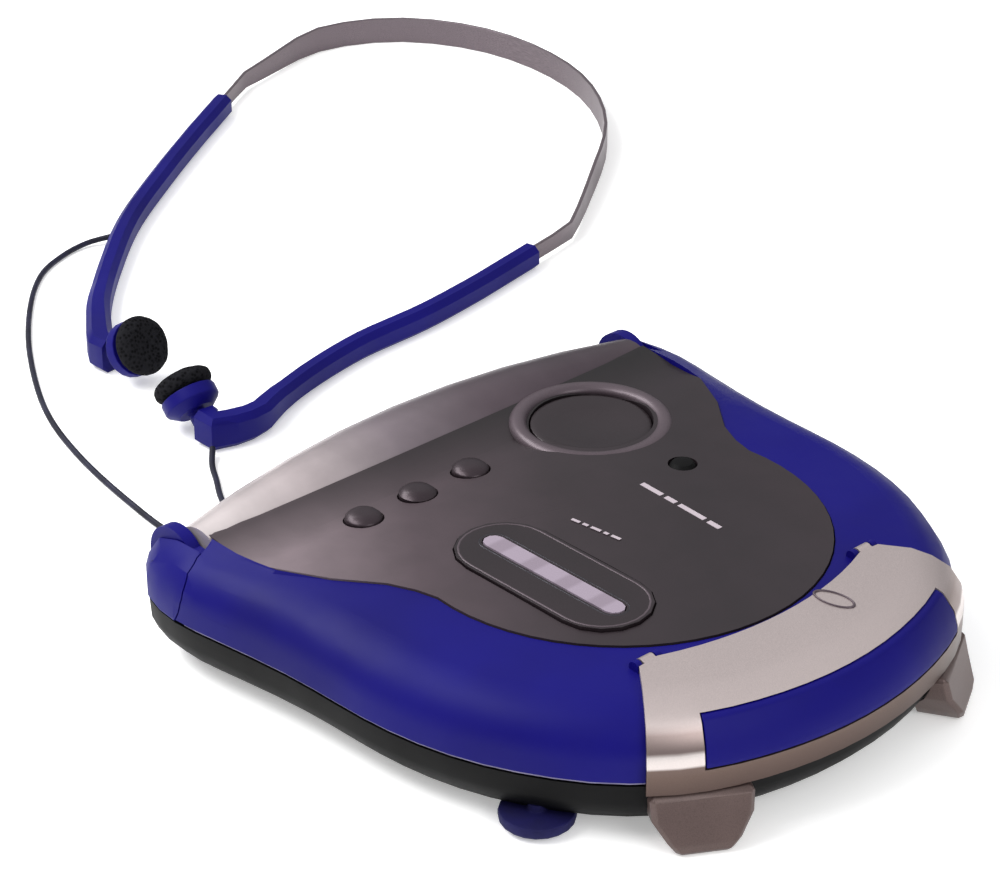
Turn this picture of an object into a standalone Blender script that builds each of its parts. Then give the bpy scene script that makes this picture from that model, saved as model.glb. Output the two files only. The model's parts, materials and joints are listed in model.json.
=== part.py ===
"""Portable CD player with a clamshell lid, a clasp, and plug-in headphones lying beside it.

Frame: metres, +Z up. The origin is the middle of the flat underside, below the centre of the round
panel. +X runs from the hinge barrel to the clasp and -Y is the side that faces the user.
"""

from math import cos, hypot, pi, radians, sin, tau

import bmesh
import bpy
from mathutils import Matrix, Vector

MM = 0.001
GAP = 0.3 * MM            # between pieces that rest on or beside each other
RUN = 0.35 * MM           # round a moving piece

# casing
BODY_LENGTH = 148 * MM
BODY_WIDTH = 153 * MM
REAR_TO_ORIGIN = 77 * MM
BASE_HEIGHT = 10 * MM
REAR_SILL = 8.1 * MM      # the base's rear wall stops here, below the barrel
LID_RIM = 11 * MM         # underside of the lid's rim
PANEL_TOP = 26.5 * MM
WALL = 2.2 * MM
FLOOR = 2.6 * MM
LABEL_RADIUS = 16.5 * MM   # of the round label place on the underside
LABEL_GROOVE = 0.4 * MM    # depth of the groove round it
FOOT_HEIGHT = 4 * MM
GROUND = -FOOT_HEIGHT
UNDERSIDE_INSET = 4.5 * MM
RING_POINTS = 60

# hinge barrel
HINGE_SET_IN = 11.5 * MM  # from the rear of the outline to the hinge axis
HINGE_HEIGHT = 17.9 * MM
BARREL_HALF = 65 * MM
BARREL_RADIUS = 12 * MM
BARREL_TAPER = 3.6 * MM
BARREL_BOW = 5 * MM
SHAFT_RADIUS = 1.5 * MM
SPRING_RADIUS = 3.4 * MM
SPRING_HALF = 15 * MM
TAB_RADIUS = 7.8 * MM
TAB_WIDTH = 3 * MM
SEAM_RADIUS = 12.3 * MM

# drive
DISC_CENTRE = 6 * MM
DECK_TOP = 10 * MM
DECK_THICK = 1.2 * MM
LINER_UNDER = 14.6 * MM
LINER_THICK = 1 * MM
TURNTABLE_RADIUS = 13 * MM
HUB_RADIUS = 7.3 * MM
SPINDLE_MOTOR_RADIUS = 9 * MM
SLED_TRAVEL = 30 * MM
SLED_START = 24 * MM
SLED_HALF = 5.5 * MM
ROD_SPAN = 12 * MM        # from the drive's centre line to the rod and to the lead screw
ROD_HEIGHT = 6 * MM
ROD_RADIUS = 0.9 * MM
SCREW_RADIUS = 1.2 * MM
DAMPER_RADIUS = 2.4 * MM

# battery
CELL_LENGTH = 67 * MM
CELL_WIDTH = 17 * MM
CELL_THICK = 5.8 * MM
DOOR_THICK = 1.2 * MM

# controls on the panel
BUTTON_RADIUS = 4.2 * MM
BUTTON_X = -41 * MM
BUTTON_YS = (-35.5 * MM, -20 * MM, -4.5 * MM)
PAD_CENTRE = (-39 * MM, 30.5 * MM)
PAD_RADIUS = 13.8 * MM
MODE_CENTRE = (-10 * MM, 30.5 * MM)
MODE_RADIUS = 3 * MM
DISPLAY_CENTRE = (5.5 * MM, -23.5 * MM)
BEZEL_LENGTH = 51 * MM
BEZEL_WIDTH = 22 * MM
WINDOW_LENGTH = 41 * MM
WINDOW_WIDTH = 4.8 * MM

TROUGH_X = -46 * MM       # the trough between the barrel and the round panel
TROUGH_HALF = 12 * MM
TROUGH_DEPTH = 1.6 * MM
PANEL_DOME = 0.9 * MM

# feet and side fittings
FOOT_RADIUS = 8 * MM
FOOT_STEM = 2 * MM
FOOT_STEM_TOP = 1.4 * MM
FOOT_FRONT = 0.507         # of the way from the origin to the front
FOOT_SIDE = 0.7386         # of the half width
FOOT_IN_REAR = 17 * MM
WHEEL_RADIUS = 7 * MM
WHEEL_THICK = 2.6 * MM
WHEEL_X = 2 * MM
SWITCH_X = -22 * MM
SWITCH_TRAVEL = 2 * MM
DC_X = -40 * MM
SIDE_HEIGHT = 5.5 * MM    # of the fittings in the far wall
JACK_RADIUS = 2.6 * MM
PLUG_PIN = 1.7 * MM
JACK_Y = 57.5 * MM
JACK_HEIGHT = 13 * MM

# clasp
CLASP_HALF_ANGLE = radians(39.5)
CLASP_LEG_ANGLE = radians(9)
CLASP_THICK = 1.4 * MM
CLASP_FOOT = 9 * MM     # lowest edge of the clasp
CLASP_BAR = 5 * MM      # height of its bottom bar
CLASP_INNER_EDGE = 48.6 * MM
CLASP_EDGE_SWEEP = 4.6 * MM
CLASP_WINDOW_TOP = 24.2 * MM
TRUNNION_RADIUS = 0.6 * MM
BUMPER_HALF_WIDTH = 11 * MM
BUMPER_DEPTH = 11 * MM    # inwards from the casing's rim
BUMPER_PROUD = 5 * MM     # beyond the casing's rim
KNUCKLE_RADIUS = 1.4 * MM
CLASP_AXIS = (41.6 * MM, 0, PANEL_TOP - 0.2 * MM)
KNUCKLES = ((28.6 * MM, 30.2 * MM), (34 * MM, 35.6 * MM))

# headphones
BAND_HEIGHT = 7.8 * MM
BAND_END_HEIGHT = 4.6 * MM
BAND_THICK = 1 * MM
ARM_WIDTH = 5.6 * MM
ARM_HEIGHT = 6.5 * MM
BAND_IN_ARM = 8 * MM       # pushed in when the photographed length is set
ARM_TRAVEL = 14 * MM
EAR_RADIUS = 7.6 * MM
EAR_HOUSING_THICK = 5 * MM
EAR_PAD_THICK = 5 * MM

# cord
LEAD_DIAMETER = 1.5 * MM
CORD_DIAMETER = 2 * MM
COIL_RADIUS = 11.5 * MM   # to the middle of its turns
COIL_SECTION = 3.6 * MM   # half the width of the bundle
COIL_HEIGHT = 6.4 * MM

REAR = -REAR_TO_ORIGIN
FRONT = REAR + BODY_LENGTH
HALF_WIDTH = BODY_WIDTH / 2
HINGE_X = REAR + HINGE_SET_IN
HINGE = (HINGE_X, 0, HINGE_HEIGHT)
TAB_START = BARREL_HALF + RUN + GAP
CAP_START = TAB_START + TAB_WIDTH + RUN
FEET = {"foot_front_near": (FRONT * FOOT_FRONT, -HALF_WIDTH * FOOT_SIDE),
        "foot_front_far": (FRONT * FOOT_FRONT, HALF_WIDTH * FOOT_SIDE),
        "foot_rear_near": (REAR + FOOT_IN_REAR, -HALF_WIDTH * 0.78),
        "foot_rear_far": (REAR + FOOT_IN_REAR, HALF_WIDTH * 0.78)}

# plan of the casing, as shares of its length and half width from the middle
OUTLINE = [(-1, 0), (-1, 0.42), (-0.995, 0.76), (-0.925, 0.935), (-0.80, 0.993), (-0.66, 1.0),
           (-0.47, 0.975), (-0.23, 0.95), (0.11, 0.935), (0.365, 0.882), (0.58, 0.784),
           (0.757, 0.654), (0.892, 0.477), (0.973, 0.242), (1, 0)]
PANEL_RADIUS = 46.5 * MM
PANEL_FLARE = [(-14 * MM, 0.745), (-23 * MM, 0.855), (-30 * MM, 0.935), (-38 * MM, 0.98), (-47 * MM, 1.0)]

# sides of the lid and base: how far in from the outline, and how high
LID_FACE = [(0, LID_RIM), (0, LID_RIM + 4.5 * MM), (0.8 * MM, LID_RIM + 7.5 * MM),
            (3 * MM, PANEL_TOP - 4.6 * MM), (6.5 * MM, PANEL_TOP - 2.5 * MM), (10.5 * MM,
                                                                               PANEL_TOP - 1.2 * MM)]
LID_EDGE = PANEL_TOP - 0.4 * MM
LEDGE = PANEL_TOP - 3 * MM
BASE_FACE = [(UNDERSIDE_INSET, 0), (1.8 * MM, 2.8 * MM), (0.6 * MM, 5.6 * MM), (0.3 * MM, BASE_HEIGHT)]

# headphones as they lie on the ground
EAR_NECK = 3 * MM         # stub on the back of the housing, where it swivels on the arm
NECK_RADIUS = 2.2 * MM
STRAIGHT = 26 * MM        # the arm's straight part, which takes the band's end
ARM_MIDDLE = GROUND + ARM_HEIGHT / 2 + 0.1 * MM
LEFT_MOUTH = Vector((-285.5, 120.5, 0)) * MM
LEFT_WAY = Vector((0.53, -0.85, 0)).normalized()
LEFT_ARM = [(-258, 77.5), (-240, 52), (-222, 32), (-205, 15.5), (-192.5, 6)]
LEFT_EAR = Vector((-172.6, 0.8, 0)) * MM
LEFT_FACING = Vector((0.86, 0.1, 0.5)).normalized()
RIGHT_MOUTH = Vector((-151.5, 117.5, 0)) * MM
RIGHT_WAY = Vector((0.196, -0.98, 0)).normalized()
RIGHT_ARM = [(-143.6, 72), (-142.5, 50), (-138.5, 30), (-133.5, 15), (-129, 5)]
RIGHT_EAR = Vector((-140.5, -5, 0)) * MM
RIGHT_FACING = Vector((-0.76, 0.08, 0.64)).normalized()
BAND_ROUTE = [(-298, 147), (-303.5, 172), (-294, 194), (-273, 207.5), (-247, 210.5), (-220, 204),
              (-194, 186.5), (-171, 158)]

# middle lines of the cords, in millimetres
LEAD_Z = GROUND / MM + LEAD_DIAMETER / MM / 2 + 0.1
LEFT_LEAD = [(-81.6, -15.8, LEAD_Z), (-82.3, -24, LEAD_Z), (-88, -34, LEAD_Z), (-101, -40, LEAD_Z),
             (-122, -38.5, LEAD_Z), (-149, -33.5, LEAD_Z), (-173, -25.5, LEAD_Z), (-200, -10.5, LEAD_Z),
             (-221, 5, LEAD_Z), (-234, 18, LEAD_Z), (-239.6, 29, LEAD_Z), (-241, 38, -2.8), (-238.2,
                                                                                             44.5, -1.8)]
RIGHT_LEAD = [(-83.4, -15.8, LEAD_Z), (-86.5, -22, LEAD_Z), (-95.5, -25.6, LEAD_Z), (-107, -22.5, LEAD_Z),
              (-116.5, -17, LEAD_Z), (-122.6, -13.4, -2.9), (-127.4, -9.4, -1.8)]
PLUG_CORD = [(-76.1, 43.6, 13), (-76.2, 40, 12.6), (-77.2, 34, 10.2), (-79.6, 27, 6.4), (-82.2, 20.5, 4),
             (-83.2, 17.5, 3.85)]
COIL_CENTRE = (-91 * MM, 8 * MM)
SPLIT = (-82.5 * MM, -11 * MM)


# ---------------------------------------------------------------- scene and materials

def clear_scene():
    for old in list(bpy.data.objects):
        bpy.data.objects.remove(old, do_unlink=True)


def linear(channel):
    return channel / 12.92 if channel <= 0.04045 else ((channel + 0.055) / 1.055) ** 2.4


def material(name, hex_colour, roughness, metallic=0.0):
    made = bpy.data.materials.new(name)
    made.use_nodes = True
    shader = made.node_tree.nodes["Principled BSDF"]
    rgb = [linear(int(hex_colour[i:i + 2], 16) / 255) for i in (0, 2, 4)]
    shader.inputs["Base Color"].default_value = (*rgb, 1)
    shader.inputs["Roughness"].default_value = roughness
    shader.inputs["Metallic"].default_value = metallic
    return made


clear_scene()
BLUE = material("blue_abs", "201b73", 0.4)
BLACK = material("black_abs", "17151a", 0.5)
GUNMETAL = material("gunmetal_paint", "4d434a", 0.35, 0.6)
SILVER = material("champagne_paint", "cdbebe", 0.3, 0.7)
DARK_SILVER = material("dark_silver_paint", "5a4c4a", 0.35, 0.6)
RUBBER = material("rubber", "1b1a2c", 0.8)
SEAL = material("seal_rubber", "77707c", 0.7)
STEEL = material("steel", "a9a9ad", 0.3, 1.0)
BOARD = material("circuit_board", "1f5a35", 0.5)
LENS = material("lens_glass", "3a4a78", 0.1)
DISPLAY = material("display_window", "b4a5af", 0.25)
FOAM = material("ear_foam", "141414", 0.95)
BAND_PAINT = material("band_paint", "645a5f", 0.4, 0.5)
CELL = material("cell_sleeve", "8f9ba8", 0.4)
CORD = material("cord_jacket", "1a1a22", 0.6)
CONTACT = material("plated_contact", "c9b98a", 0.3, 1.0)


# ---------------------------------------------------------------- shape helpers

def finish(name, bm, look, origin=(0, 0, 0), smooth=True):
    """Makes the bmesh an object whose own origin is the given point."""
    bmesh.ops.remove_doubles(bm, verts=bm.verts, dist=1e-6)
    bmesh.ops.recalc_face_normals(bm, faces=bm.faces)
    bmesh.ops.translate(bm, verts=bm.verts, vec=-Vector(origin))
    mesh = bpy.data.meshes.new(name)
    bm.to_mesh(mesh)
    bm.free()
    made = bpy.data.objects.new(name, mesh)
    made.location = origin
    bpy.context.scene.collection.objects.link(made)
    if look:
        mesh.materials.append(look)
    if smooth:
        mesh.shade_smooth()
        mesh.set_sharp_from_angle(angle=radians(32))
    return made


def helper(name, bm):
    """A cutter or a guide: it shapes other pieces and is no piece itself."""
    made = finish(name, bm, None, smooth=False)
    made.hide_render = True
    made.display_type = "WIRE"
    return made


def boolean(target, other, operation):
    modifier = target.modifiers.new(other.name, "BOOLEAN")
    modifier.object = other
    modifier.operation = operation


def cut(target, *others):
    for other in others:
        boolean(target, other, "DIFFERENCE")


def join(target, *others):
    for other in others:
        boolean(target, other, "UNION")


def keep(target, other):
    boolean(target, other, "INTERSECT")


def bevel(target, width, angle=35, segments=1):
    modifier = target.modifiers.new("edges", "BEVEL")
    modifier.width = width
    modifier.segments = segments
    modifier.limit_method = "ANGLE"
    modifier.angle_limit = radians(angle)


def loft(bm, rings, closed=False):
    """Skins rings of equal point counts. It caps both ends, or joins last to first if closed."""
    rows = [[bm.verts.new(point) for point in ring] for ring in rings]
    pairs = list(zip(rows, rows[1:]))
    if closed:
        pairs.append((rows[-1], rows[0]))
    count = len(rows[0])
    for low, high in pairs:
        for i in range(count):
            j = (i + 1) % count
            bm.faces.new((low[i], low[j], high[j], high[i]))
    if not closed:
        bm.faces.new(rows[0][::-1])
        bm.faces.new(rows[-1])


def lofted(rings, closed=False):
    bm = bmesh.new()
    loft(bm, rings, closed)
    return bm


def add_box(bm, low, high):
    size = Vector(high) - Vector(low)
    middle = (Vector(high) + Vector(low)) / 2
    matrix = Matrix.Translation(middle) @ Matrix.Diagonal((*size, 1))
    bmesh.ops.create_cube(bm, size=1, matrix=matrix)


def box(low, high):
    bm = bmesh.new()
    add_box(bm, low, high)
    return bm


AXES = {"X": (Vector((0, 1, 0)), Vector((0, 0, 1)), Vector((1, 0, 0))),
        "Y": (Vector((0, 0, 1)), Vector((1, 0, 0)), Vector((0, 1, 0))),
        "Z": (Vector((1, 0, 0)), Vector((0, 1, 0)), Vector((0, 0, 1)))}


def turned(centre, axis, profile, sides=24):
    """A turned solid. profile lists (radius, place along the axis) from one end to the other."""
    across, up, along = AXES[axis]
    rings = []
    for radius, place in profile:
        ring = []
        for i in range(sides):
            turn = tau * (i + 0.5) / sides
            ring.append(Vector(centre) + along * place + (across * cos(turn) + up * sin(turn)) * radius)
        rings.append(ring)
    return rings


def rod(centre, axis, radius, start, end, sides=20):
    return lofted(turned(centre, axis, [(radius, start), (radius, end)], sides))


def tube_ring(centre, axis, inner, outer, start, end, sides=24):
    profile = [(inner, start), (outer, start), (outer, end), (inner, end)]
    return lofted(turned(centre, axis, profile, sides), closed=True)


def flat(outline, low, high):
    """A plate of the given outline between two heights."""
    return lofted([[Vector((x, y, z)) for x, y in outline] for z in (low, high)])


def racetrack(centre, length, width, steps=8):
    """A long shape with round ends, along X."""
    radius = width / 2
    reach = length / 2 - radius
    points = []
    for side in (1, -1):
        for i in range(steps + 1):
            turn = -pi / 2 + pi * i / steps + (0 if side > 0 else pi)
            points.append((centre[0] + side * reach + radius * cos(turn), centre[1] + radius * sin(turn)))
    return points


# ---------------------------------------------------------------- curves

def spline(points, steps, closed=False):
    """A smooth curve through the points, as a list of Vectors."""
    known = [Vector(point) for point in points]
    count = len(known)
    spans = count if closed else count - 1
    made = []
    for i in range(spans):
        if closed:
            a, b, c, d = (known[(i + k) % count] for k in (-1, 0, 1, 2))
        else:
            b, c = known[i], known[i + 1]
            a = known[i - 1] if i else b * 2 - c
            d = known[i + 2] if i + 2 < count else c * 2 - b
        for step in range(steps):
            t = step / steps
            made.append(0.5 * (2 * b + (c - a) * t + (2 * a - 5 * b + 4 * c - d) * t ** 2
                               + (3 * b - a - 3 * c + d) * t ** 3))
    if not closed:
        made.append(known[-1].copy())
    return made


def even(points, spacing):
    """The same path with points an even distance apart."""
    lengths = [(b - a).length for a, b in zip(points, points[1:])]
    total = sum(lengths)
    count = max(2, round(total / spacing))
    made, i, passed = [points[0].copy()], 0, 0.0
    for k in range(1, count):
        goal = total * k / count
        while passed + lengths[i] < goal:
            passed += lengths[i]
            i += 1
        made.append(points[i].lerp(points[i + 1], (goal - passed) / lengths[i]))
    made.append(points[-1].copy())
    return made


# half of the casing's outline, as shares of half its length and half its width
# half of the grey panel's edge behind its round front


def outline_points():
    middle = (REAR + FRONT) / 2
    half = [(middle + u * BODY_LENGTH / 2, v * HALF_WIDTH) for u, v in OUTLINE]
    whole = half + [(x, -y) for x, y in half[-2:0:-1]]
    return [(p.x, p.y) for p in spline([(x, y, 0) for x, y in whole], 6, closed=True)]


def panel_points():
    arc = [(PANEL_RADIUS * cos(a), PANEL_RADIUS * sin(a)) for a in (radians(6 * i) for i in range(17))]
    half = arc + [(x, v * BARREL_HALF) for x, v in PANEL_FLARE]
    half += [(HINGE_X + 5 * MM, BARREL_HALF)]
    return half + [(x, -y) for x, y in half[:0:-1]]


def radius_at(points, turn):
    """How far the outline lies from the origin in one direction."""
    way = (cos(turn), sin(turn))
    best = 0.0
    for (ax, ay), (bx, by) in zip(points, points[1:] + points[:1]):
        ex, ey = bx - ax, by - ay
        cross = way[0] * ey - way[1] * ex
        if abs(cross) < 1e-12:
            continue
        reach = (ax * ey - ay * ex) / cross
        share = (ax * way[1] - ay * way[0]) / cross
        if reach > 0 and -1e-9 <= share <= 1 + 1e-9:
            best = max(best, reach)
    return best


CORNER_TURNS = [radians(side * (123 + 6 * i)) % tau for side in (1, -1) for i in range(5)]
TURNS = sorted([tau * i / RING_POINTS for i in range(RING_POINTS)] + CORNER_TURNS)
RIM = outline_points()
PANEL = panel_points()
RIM_RADII = [radius_at(RIM, turn) for turn in TURNS]
PANEL_RADII = [radius_at(PANEL, turn) for turn in TURNS]


def inset_factor(i):
    """Turns an inset square to the edge into one along the ray from the origin."""
    later = (i + 1) % len(TURNS)
    slope = (RIM_RADII[later] - RIM_RADII[i - 1]) / ((TURNS[later] - TURNS[i - 1]) % tau) / RIM_RADII[i]
    return hypot(1, slope)


def rim_ring(inset, height):
    ring = []
    for i, turn in enumerate(TURNS):
        reach = RIM_RADII[i] - inset * inset_factor(i)
        ring.append(Vector((reach * cos(turn), reach * sin(turn), height)))
    return ring


def panel_ring(inset, height):
    return [Vector(((r - inset) * cos(t), (r - inset) * sin(t), height))
            for r, t in zip(PANEL_RADII, TURNS)]


# the lid's outer face, as (inset from the rim, height)


def barrel_centre(y):
    return HINGE_X + BARREL_BOW * (y / BARREL_HALF) ** 2


def barrel_size(y):
    return BARREL_RADIUS - BARREL_TAPER * (y / BARREL_HALF) ** 2


def barrel_form(extra, reach):
    """The bowed cask of the barrel, grown all round by extra and as long as reach each way."""
    rings = []
    for k in range(-4, 5):
        y = reach * k / 4
        held = max(-BARREL_HALF, min(BARREL_HALF, y))
        centre = (barrel_centre(held), y, HINGE_HEIGHT)
        rings += turned(centre, "Y", [(barrel_size(held) + extra, 0)], 26)
    return lofted(rings)


# ---------------------------------------------------------------- casing

def base_shell():
    outer = [rim_ring(inset, height) for inset, height in BASE_FACE]
    inner = [rim_ring(WALL + 0.3 * MM, BASE_HEIGHT), rim_ring(WALL + 0.8 * MM, 6 * MM),
             rim_ring(UNDERSIDE_INSET, FLOOR)]
    shell = finish("base_shell", lofted(outer + inner), BLACK)
    bay = battery_bay()
    cut(shell,
        helper("barrel_seat", barrel_form(GAP, BARREL_HALF + GAP)),
        helper("barrel_back", box((REAR - 0.01, -BARREL_HALF - 2 * GAP, REAR_SILL),
                                  (HINGE_X, BARREL_HALF + 2 * GAP, 0.03))),
        helper("battery_hole", box((bay[0], bay[2], -MM), (bay[1], bay[3], FLOOR + MM))),
        helper("door_recess", box((bay[0] - 2 * MM, -BODY_WIDTH, -MM),
                                  (bay[1] + 2 * MM, bay[3] + 2 * MM, DOOR_THICK + GAP))))
    for side in (1, -1):
        low, high = sorted((side * (BARREL_HALF - MM), side * (CAP_START - 0.1 * MM)))
        slot = rod((HINGE_X, 0, HINGE_HEIGHT), "Y", TAB_RADIUS + RUN, low, high, 32)
        cut(shell, helper(f"tab_scoop_{side}", slot))
    for name, bm in side_openings().items():
        cut(shell, helper(name, bm))
    groove = tube_ring((DISC_CENTRE, 0, 0), "Z", LABEL_RADIUS, LABEL_RADIUS + 2 * LABEL_GROOVE, -MM,
                       LABEL_GROOVE, 40)
    cut(shell, helper("label_groove", groove))
    for name, place in FEET.items():
        cut(shell, helper(name + "_hole", rod((*place, 0), "Z", FOOT_STEM + GAP, -MM, FOOT_STEM_TOP + GAP)))
    return shell


def battery_bay():
    """Low and high x, then low and high y, of the space for the two cells."""
    low_x = DISC_CENTRE - ROD_SPAN - 8 * MM - 2 * CELL_WIDTH - 3 * GAP
    return (low_x, low_x + 2 * CELL_WIDTH + 3 * GAP, -CELL_LENGTH / 2 - 2.5 * MM, CELL_LENGTH / 2 + GAP)


def lid_shell():
    outer = [rim_ring(inset, height) for inset, height in LID_FACE]
    outer.append(panel_ring(-GAP, LID_EDGE))
    outer.append(panel_ring(-GAP, LEDGE))
    inner = [panel_ring(2.2 * MM, LEDGE), panel_ring(2.2 * MM, LEDGE - 1.6 * MM),
             rim_ring(7 * MM, PANEL_TOP - 4.9 * MM), rim_ring(3.4 * MM, PANEL_TOP - 7.6 * MM),
             rim_ring(WALL, LID_RIM + 2.5 * MM), rim_ring(WALL, LID_RIM)]
    shell = finish("lid_shell", lofted(outer + inner, closed=True), BLUE, HINGE)
    cut(shell, helper("lid_barrel_seat", barrel_form(RUN + GAP, BARREL_HALF + GAP)))
    for side in (1, -1):
        low, high = sorted((side * (BARREL_HALF - MM), side * BODY_WIDTH))
        seam = rod((HINGE_X, 0, HINGE_HEIGHT), "Y", SEAM_RADIUS + RUN, low, high, 40)
        cut(shell, helper(f"lid_seam_{side}", seam))
    cut(shell,
        helper("lid_back", box((REAR - 0.01, -BODY_WIDTH, 0), (HINGE_X - 0.1 * MM, BODY_WIDTH, 0.04))))
    for side in (1, -1):
        low, high = sorted((side * TAB_START, side * (TAB_START + TAB_WIDTH)))
        join(shell,
             helper(f"hinge_tab_{side}",
                    rod((HINGE_X, 0, HINGE_HEIGHT), "Y", TAB_RADIUS, low, high, 32)))
        arm = box((HINGE_X, low, LID_RIM + 0.4 * MM), (HINGE_X + 21 * MM, high, PANEL_TOP - 3.6 * MM))
        join(shell, helper(f"hinge_arm_{side}", arm))
    bore = rod((HINGE_X, 0, HINGE_HEIGHT), "Y", SHAFT_RADIUS + RUN, -BODY_WIDTH, BODY_WIDTH)
    cut(shell, helper("tab_bore", bore))
    for side in (1, -1):
        for low, high in KNUCKLES:
            low, high = sorted((side * low, side * high))
            name = f"knuckle_{side}_{round(abs(low) / MM)}"
            join(shell, helper(name, rod(CLASP_AXIS, "Y", KNUCKLE_RADIUS, low, high, 16)))
        low, high = sorted((side * (KNUCKLES[0][1] - RUN / 2), side * (KNUCKLES[1][0] + RUN / 2)))
        pocket = rod(CLASP_AXIS, "Y", KNUCKLE_RADIUS + RUN, low, high, 16)
        cut(shell, helper(f"knuckle_pocket_{side}", pocket))
        low, high = sorted((side * (KNUCKLES[0][0] + GAP), side * (KNUCKLES[1][1] - GAP)))
        cut(shell,
            helper(f"trunnion_bore_{side}",
                   rod(CLASP_AXIS, "Y", TRUNNION_RADIUS + 0.2 * MM, low, high, 16)))
    return shell


def lid_panel():
    """The grey panel: a dome over the drive and a trough along the barrel for the buttons."""
    under = [[Vector((p.x * s, p.y * s, LEDGE + GAP)) for p in panel_ring(0, 0)] for s in (0.3, 1)]
    top = [[Vector((p.x * s, p.y * s, panel_height(p.x * s, p.y * s))) for p in panel_ring(0, 0)]
           for s in (1, 0.93, 0.85, 0.76, 0.66, 0.54, 0.36)]
    panel = finish("lid_panel", lofted(under + top), GUNMETAL, HINGE)
    cut(panel, helper("panel_barrel_seat", barrel_form(RUN + GAP, BARREL_HALF + MM)))
    cut(panel, helper("panel_back", box((REAR, -0.1, 0), (HINGE_X, 0.1, 0.04))))
    for i, y in enumerate(BUTTON_YS):
        cut(panel, helper(f"button_hole_{i}", rod((BUTTON_X, y, 0), "Z", BUTTON_RADIUS + RUN, 0.015, 0.03)))
    cut(panel, helper("mode_hole", rod((*MODE_CENTRE, 0), "Z", MODE_RADIUS + RUN, 0.015, 0.03)))
    cut(panel, helper("pad_hole", rod((*PAD_CENTRE, 0), "Z", PAD_RADIUS + RUN, 0.015, 0.03, 40)))
    track = racetrack(DISPLAY_CENTRE, BEZEL_LENGTH + 2 * GAP, BEZEL_WIDTH + 2 * GAP)
    cut(panel, helper("bezel_hole", flat(track, 0.015, 0.03)))
    return panel


def gasket():
    rings = [rim_ring(0.6 * MM, BASE_HEIGHT + GAP), rim_ring(2 * MM, BASE_HEIGHT + GAP),
             rim_ring(2 * MM, LID_RIM - GAP), rim_ring(0.6 * MM, LID_RIM - GAP)]
    seal = finish("lid_gasket", lofted(rings, closed=True), SEAL)
    reach = HINGE_X + SEAM_RADIUS + RUN
    cut(seal, helper("gasket_end", box((REAR - 0.01, -0.1, 0), (reach, 0.1, 0.03))))


def deck_plate():
    inset = WALL + 1.1 * MM
    plate = finish("deck_plate",
                   lofted([rim_ring(inset, DECK_TOP - DECK_THICK), rim_ring(inset, DECK_TOP)]), BLACK)
    cut(plate, helper("deck_barrel_seat", barrel_form(GAP + RUN, 0.1)))
    cut(plate, helper("deck_back", box((REAR - 0.01, -0.1, 0), (HINGE_X + 2 * MM, 0.1, 0.03))))
    for side in (1, -1):
        low, high = sorted((side * (BARREL_HALF - MM), side * BODY_WIDTH))
        cut(plate, helper(f"deck_corner_{side}", box((REAR, low, 0), (HINGE_X + 23 * MM, high, 0.03))))
    well = rod((DISC_CENTRE, 0, 0), "Z", TURNTABLE_RADIUS + 2 * MM, 0, 0.03, 32)
    window = box((DISC_CENTRE - ROD_SPAN - 4 * MM, -SLED_START - SLED_TRAVEL - SLED_HALF - 1.5 * MM, 0),
                 (DISC_CENTRE + ROD_SPAN + 4 * MM, -SLED_START + SLED_HALF + 8 * MM, 0.03))
    cut(plate, helper("spindle_hole", well), helper("pickup_window", window))


def barrel_cover():
    cover = finish("barrel_cover", barrel_form(0, BARREL_HALF), SILVER)
    cut(cover, helper("shaft_bore", rod(HINGE, "Y", SHAFT_RADIUS + GAP, -0.1, 0.1, 16)))
    cut(cover,
        helper("spring_room",
               rod(HINGE, "Y", SPRING_RADIUS + MM, -SPRING_HALF - MM, SPRING_HALF + MM, 16)))
    pocket = rod((0, JACK_Y, JACK_HEIGHT), "X", JACK_RADIUS + GAP, REAR - 0.01, HINGE_X + 10.3 * MM, 16)
    cut(cover, helper("jack_pocket", pocket))


def hinge_parts():
    finish("hinge_shaft", rod(HINGE, "Y", SHAFT_RADIUS, -CAP_START - 4 * MM, CAP_START + 4 * MM, 16), STEEL)
    finish("hinge_spring",
           tube_ring(HINGE, "Y", SHAFT_RADIUS + GAP, SPRING_RADIUS, -SPRING_HALF, SPRING_HALF), STEEL)
    for side, name in ((-1, "end_cap_near"), (1, "end_cap_far")):
        face = [(0.3 * MM, BASE_HEIGHT + GAP)] + LID_FACE + [(24 * MM, PANEL_TOP - MM)]
        cap = finish(name, lofted([rim_ring(inset, height) for inset, height in face]), BLUE)
        low, high = sorted((side * CAP_START, side * BODY_WIDTH))
        keep(cap, helper(name + "_room", rod(HINGE, "Y", SEAM_RADIUS, low, high, 40)))
        low, high = sorted((side * (CAP_START - MM), side * (CAP_START + 4.4 * MM)))
        cut(cap, helper(name + "_bore", rod(HINGE, "Y", SHAFT_RADIUS + GAP, low, high, 16)))


def lid_liner():
    inset = WALL + 1.4 * MM
    liner = finish("lid_liner",
                   lofted([rim_ring(inset, LINER_UNDER), rim_ring(inset, LINER_UNDER + LINER_THICK)]),
                   BLACK, HINGE)
    cut(liner, helper("liner_barrel_seat", barrel_form(RUN + GAP, 0.1)))
    cut(liner, helper("liner_back", box((REAR - 0.01, -0.1, 0), (HINGE_X + 2 * MM, 0.1, 0.03))))
    for side in (1, -1):
        low, high = sorted((side * (BARREL_HALF - MM), side * BODY_WIDTH))
        cut(liner, helper(f"liner_corner_{side}", box((REAR, low, 0), (HINGE_X + 23 * MM, high, 0.03))))


# ---------------------------------------------------------------- controls

def panel_height(x, y):
    dome = PANEL_DOME * max(0.0, 1 - (x * x + y * y) / PANEL_RADIUS ** 2)
    across = (x - TROUGH_X) / TROUGH_HALF
    dip = TROUGH_DEPTH * (1 + cos(pi * across)) / 2 if abs(across) < 1 else 0
    return PANEL_TOP + dome - dip


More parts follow.
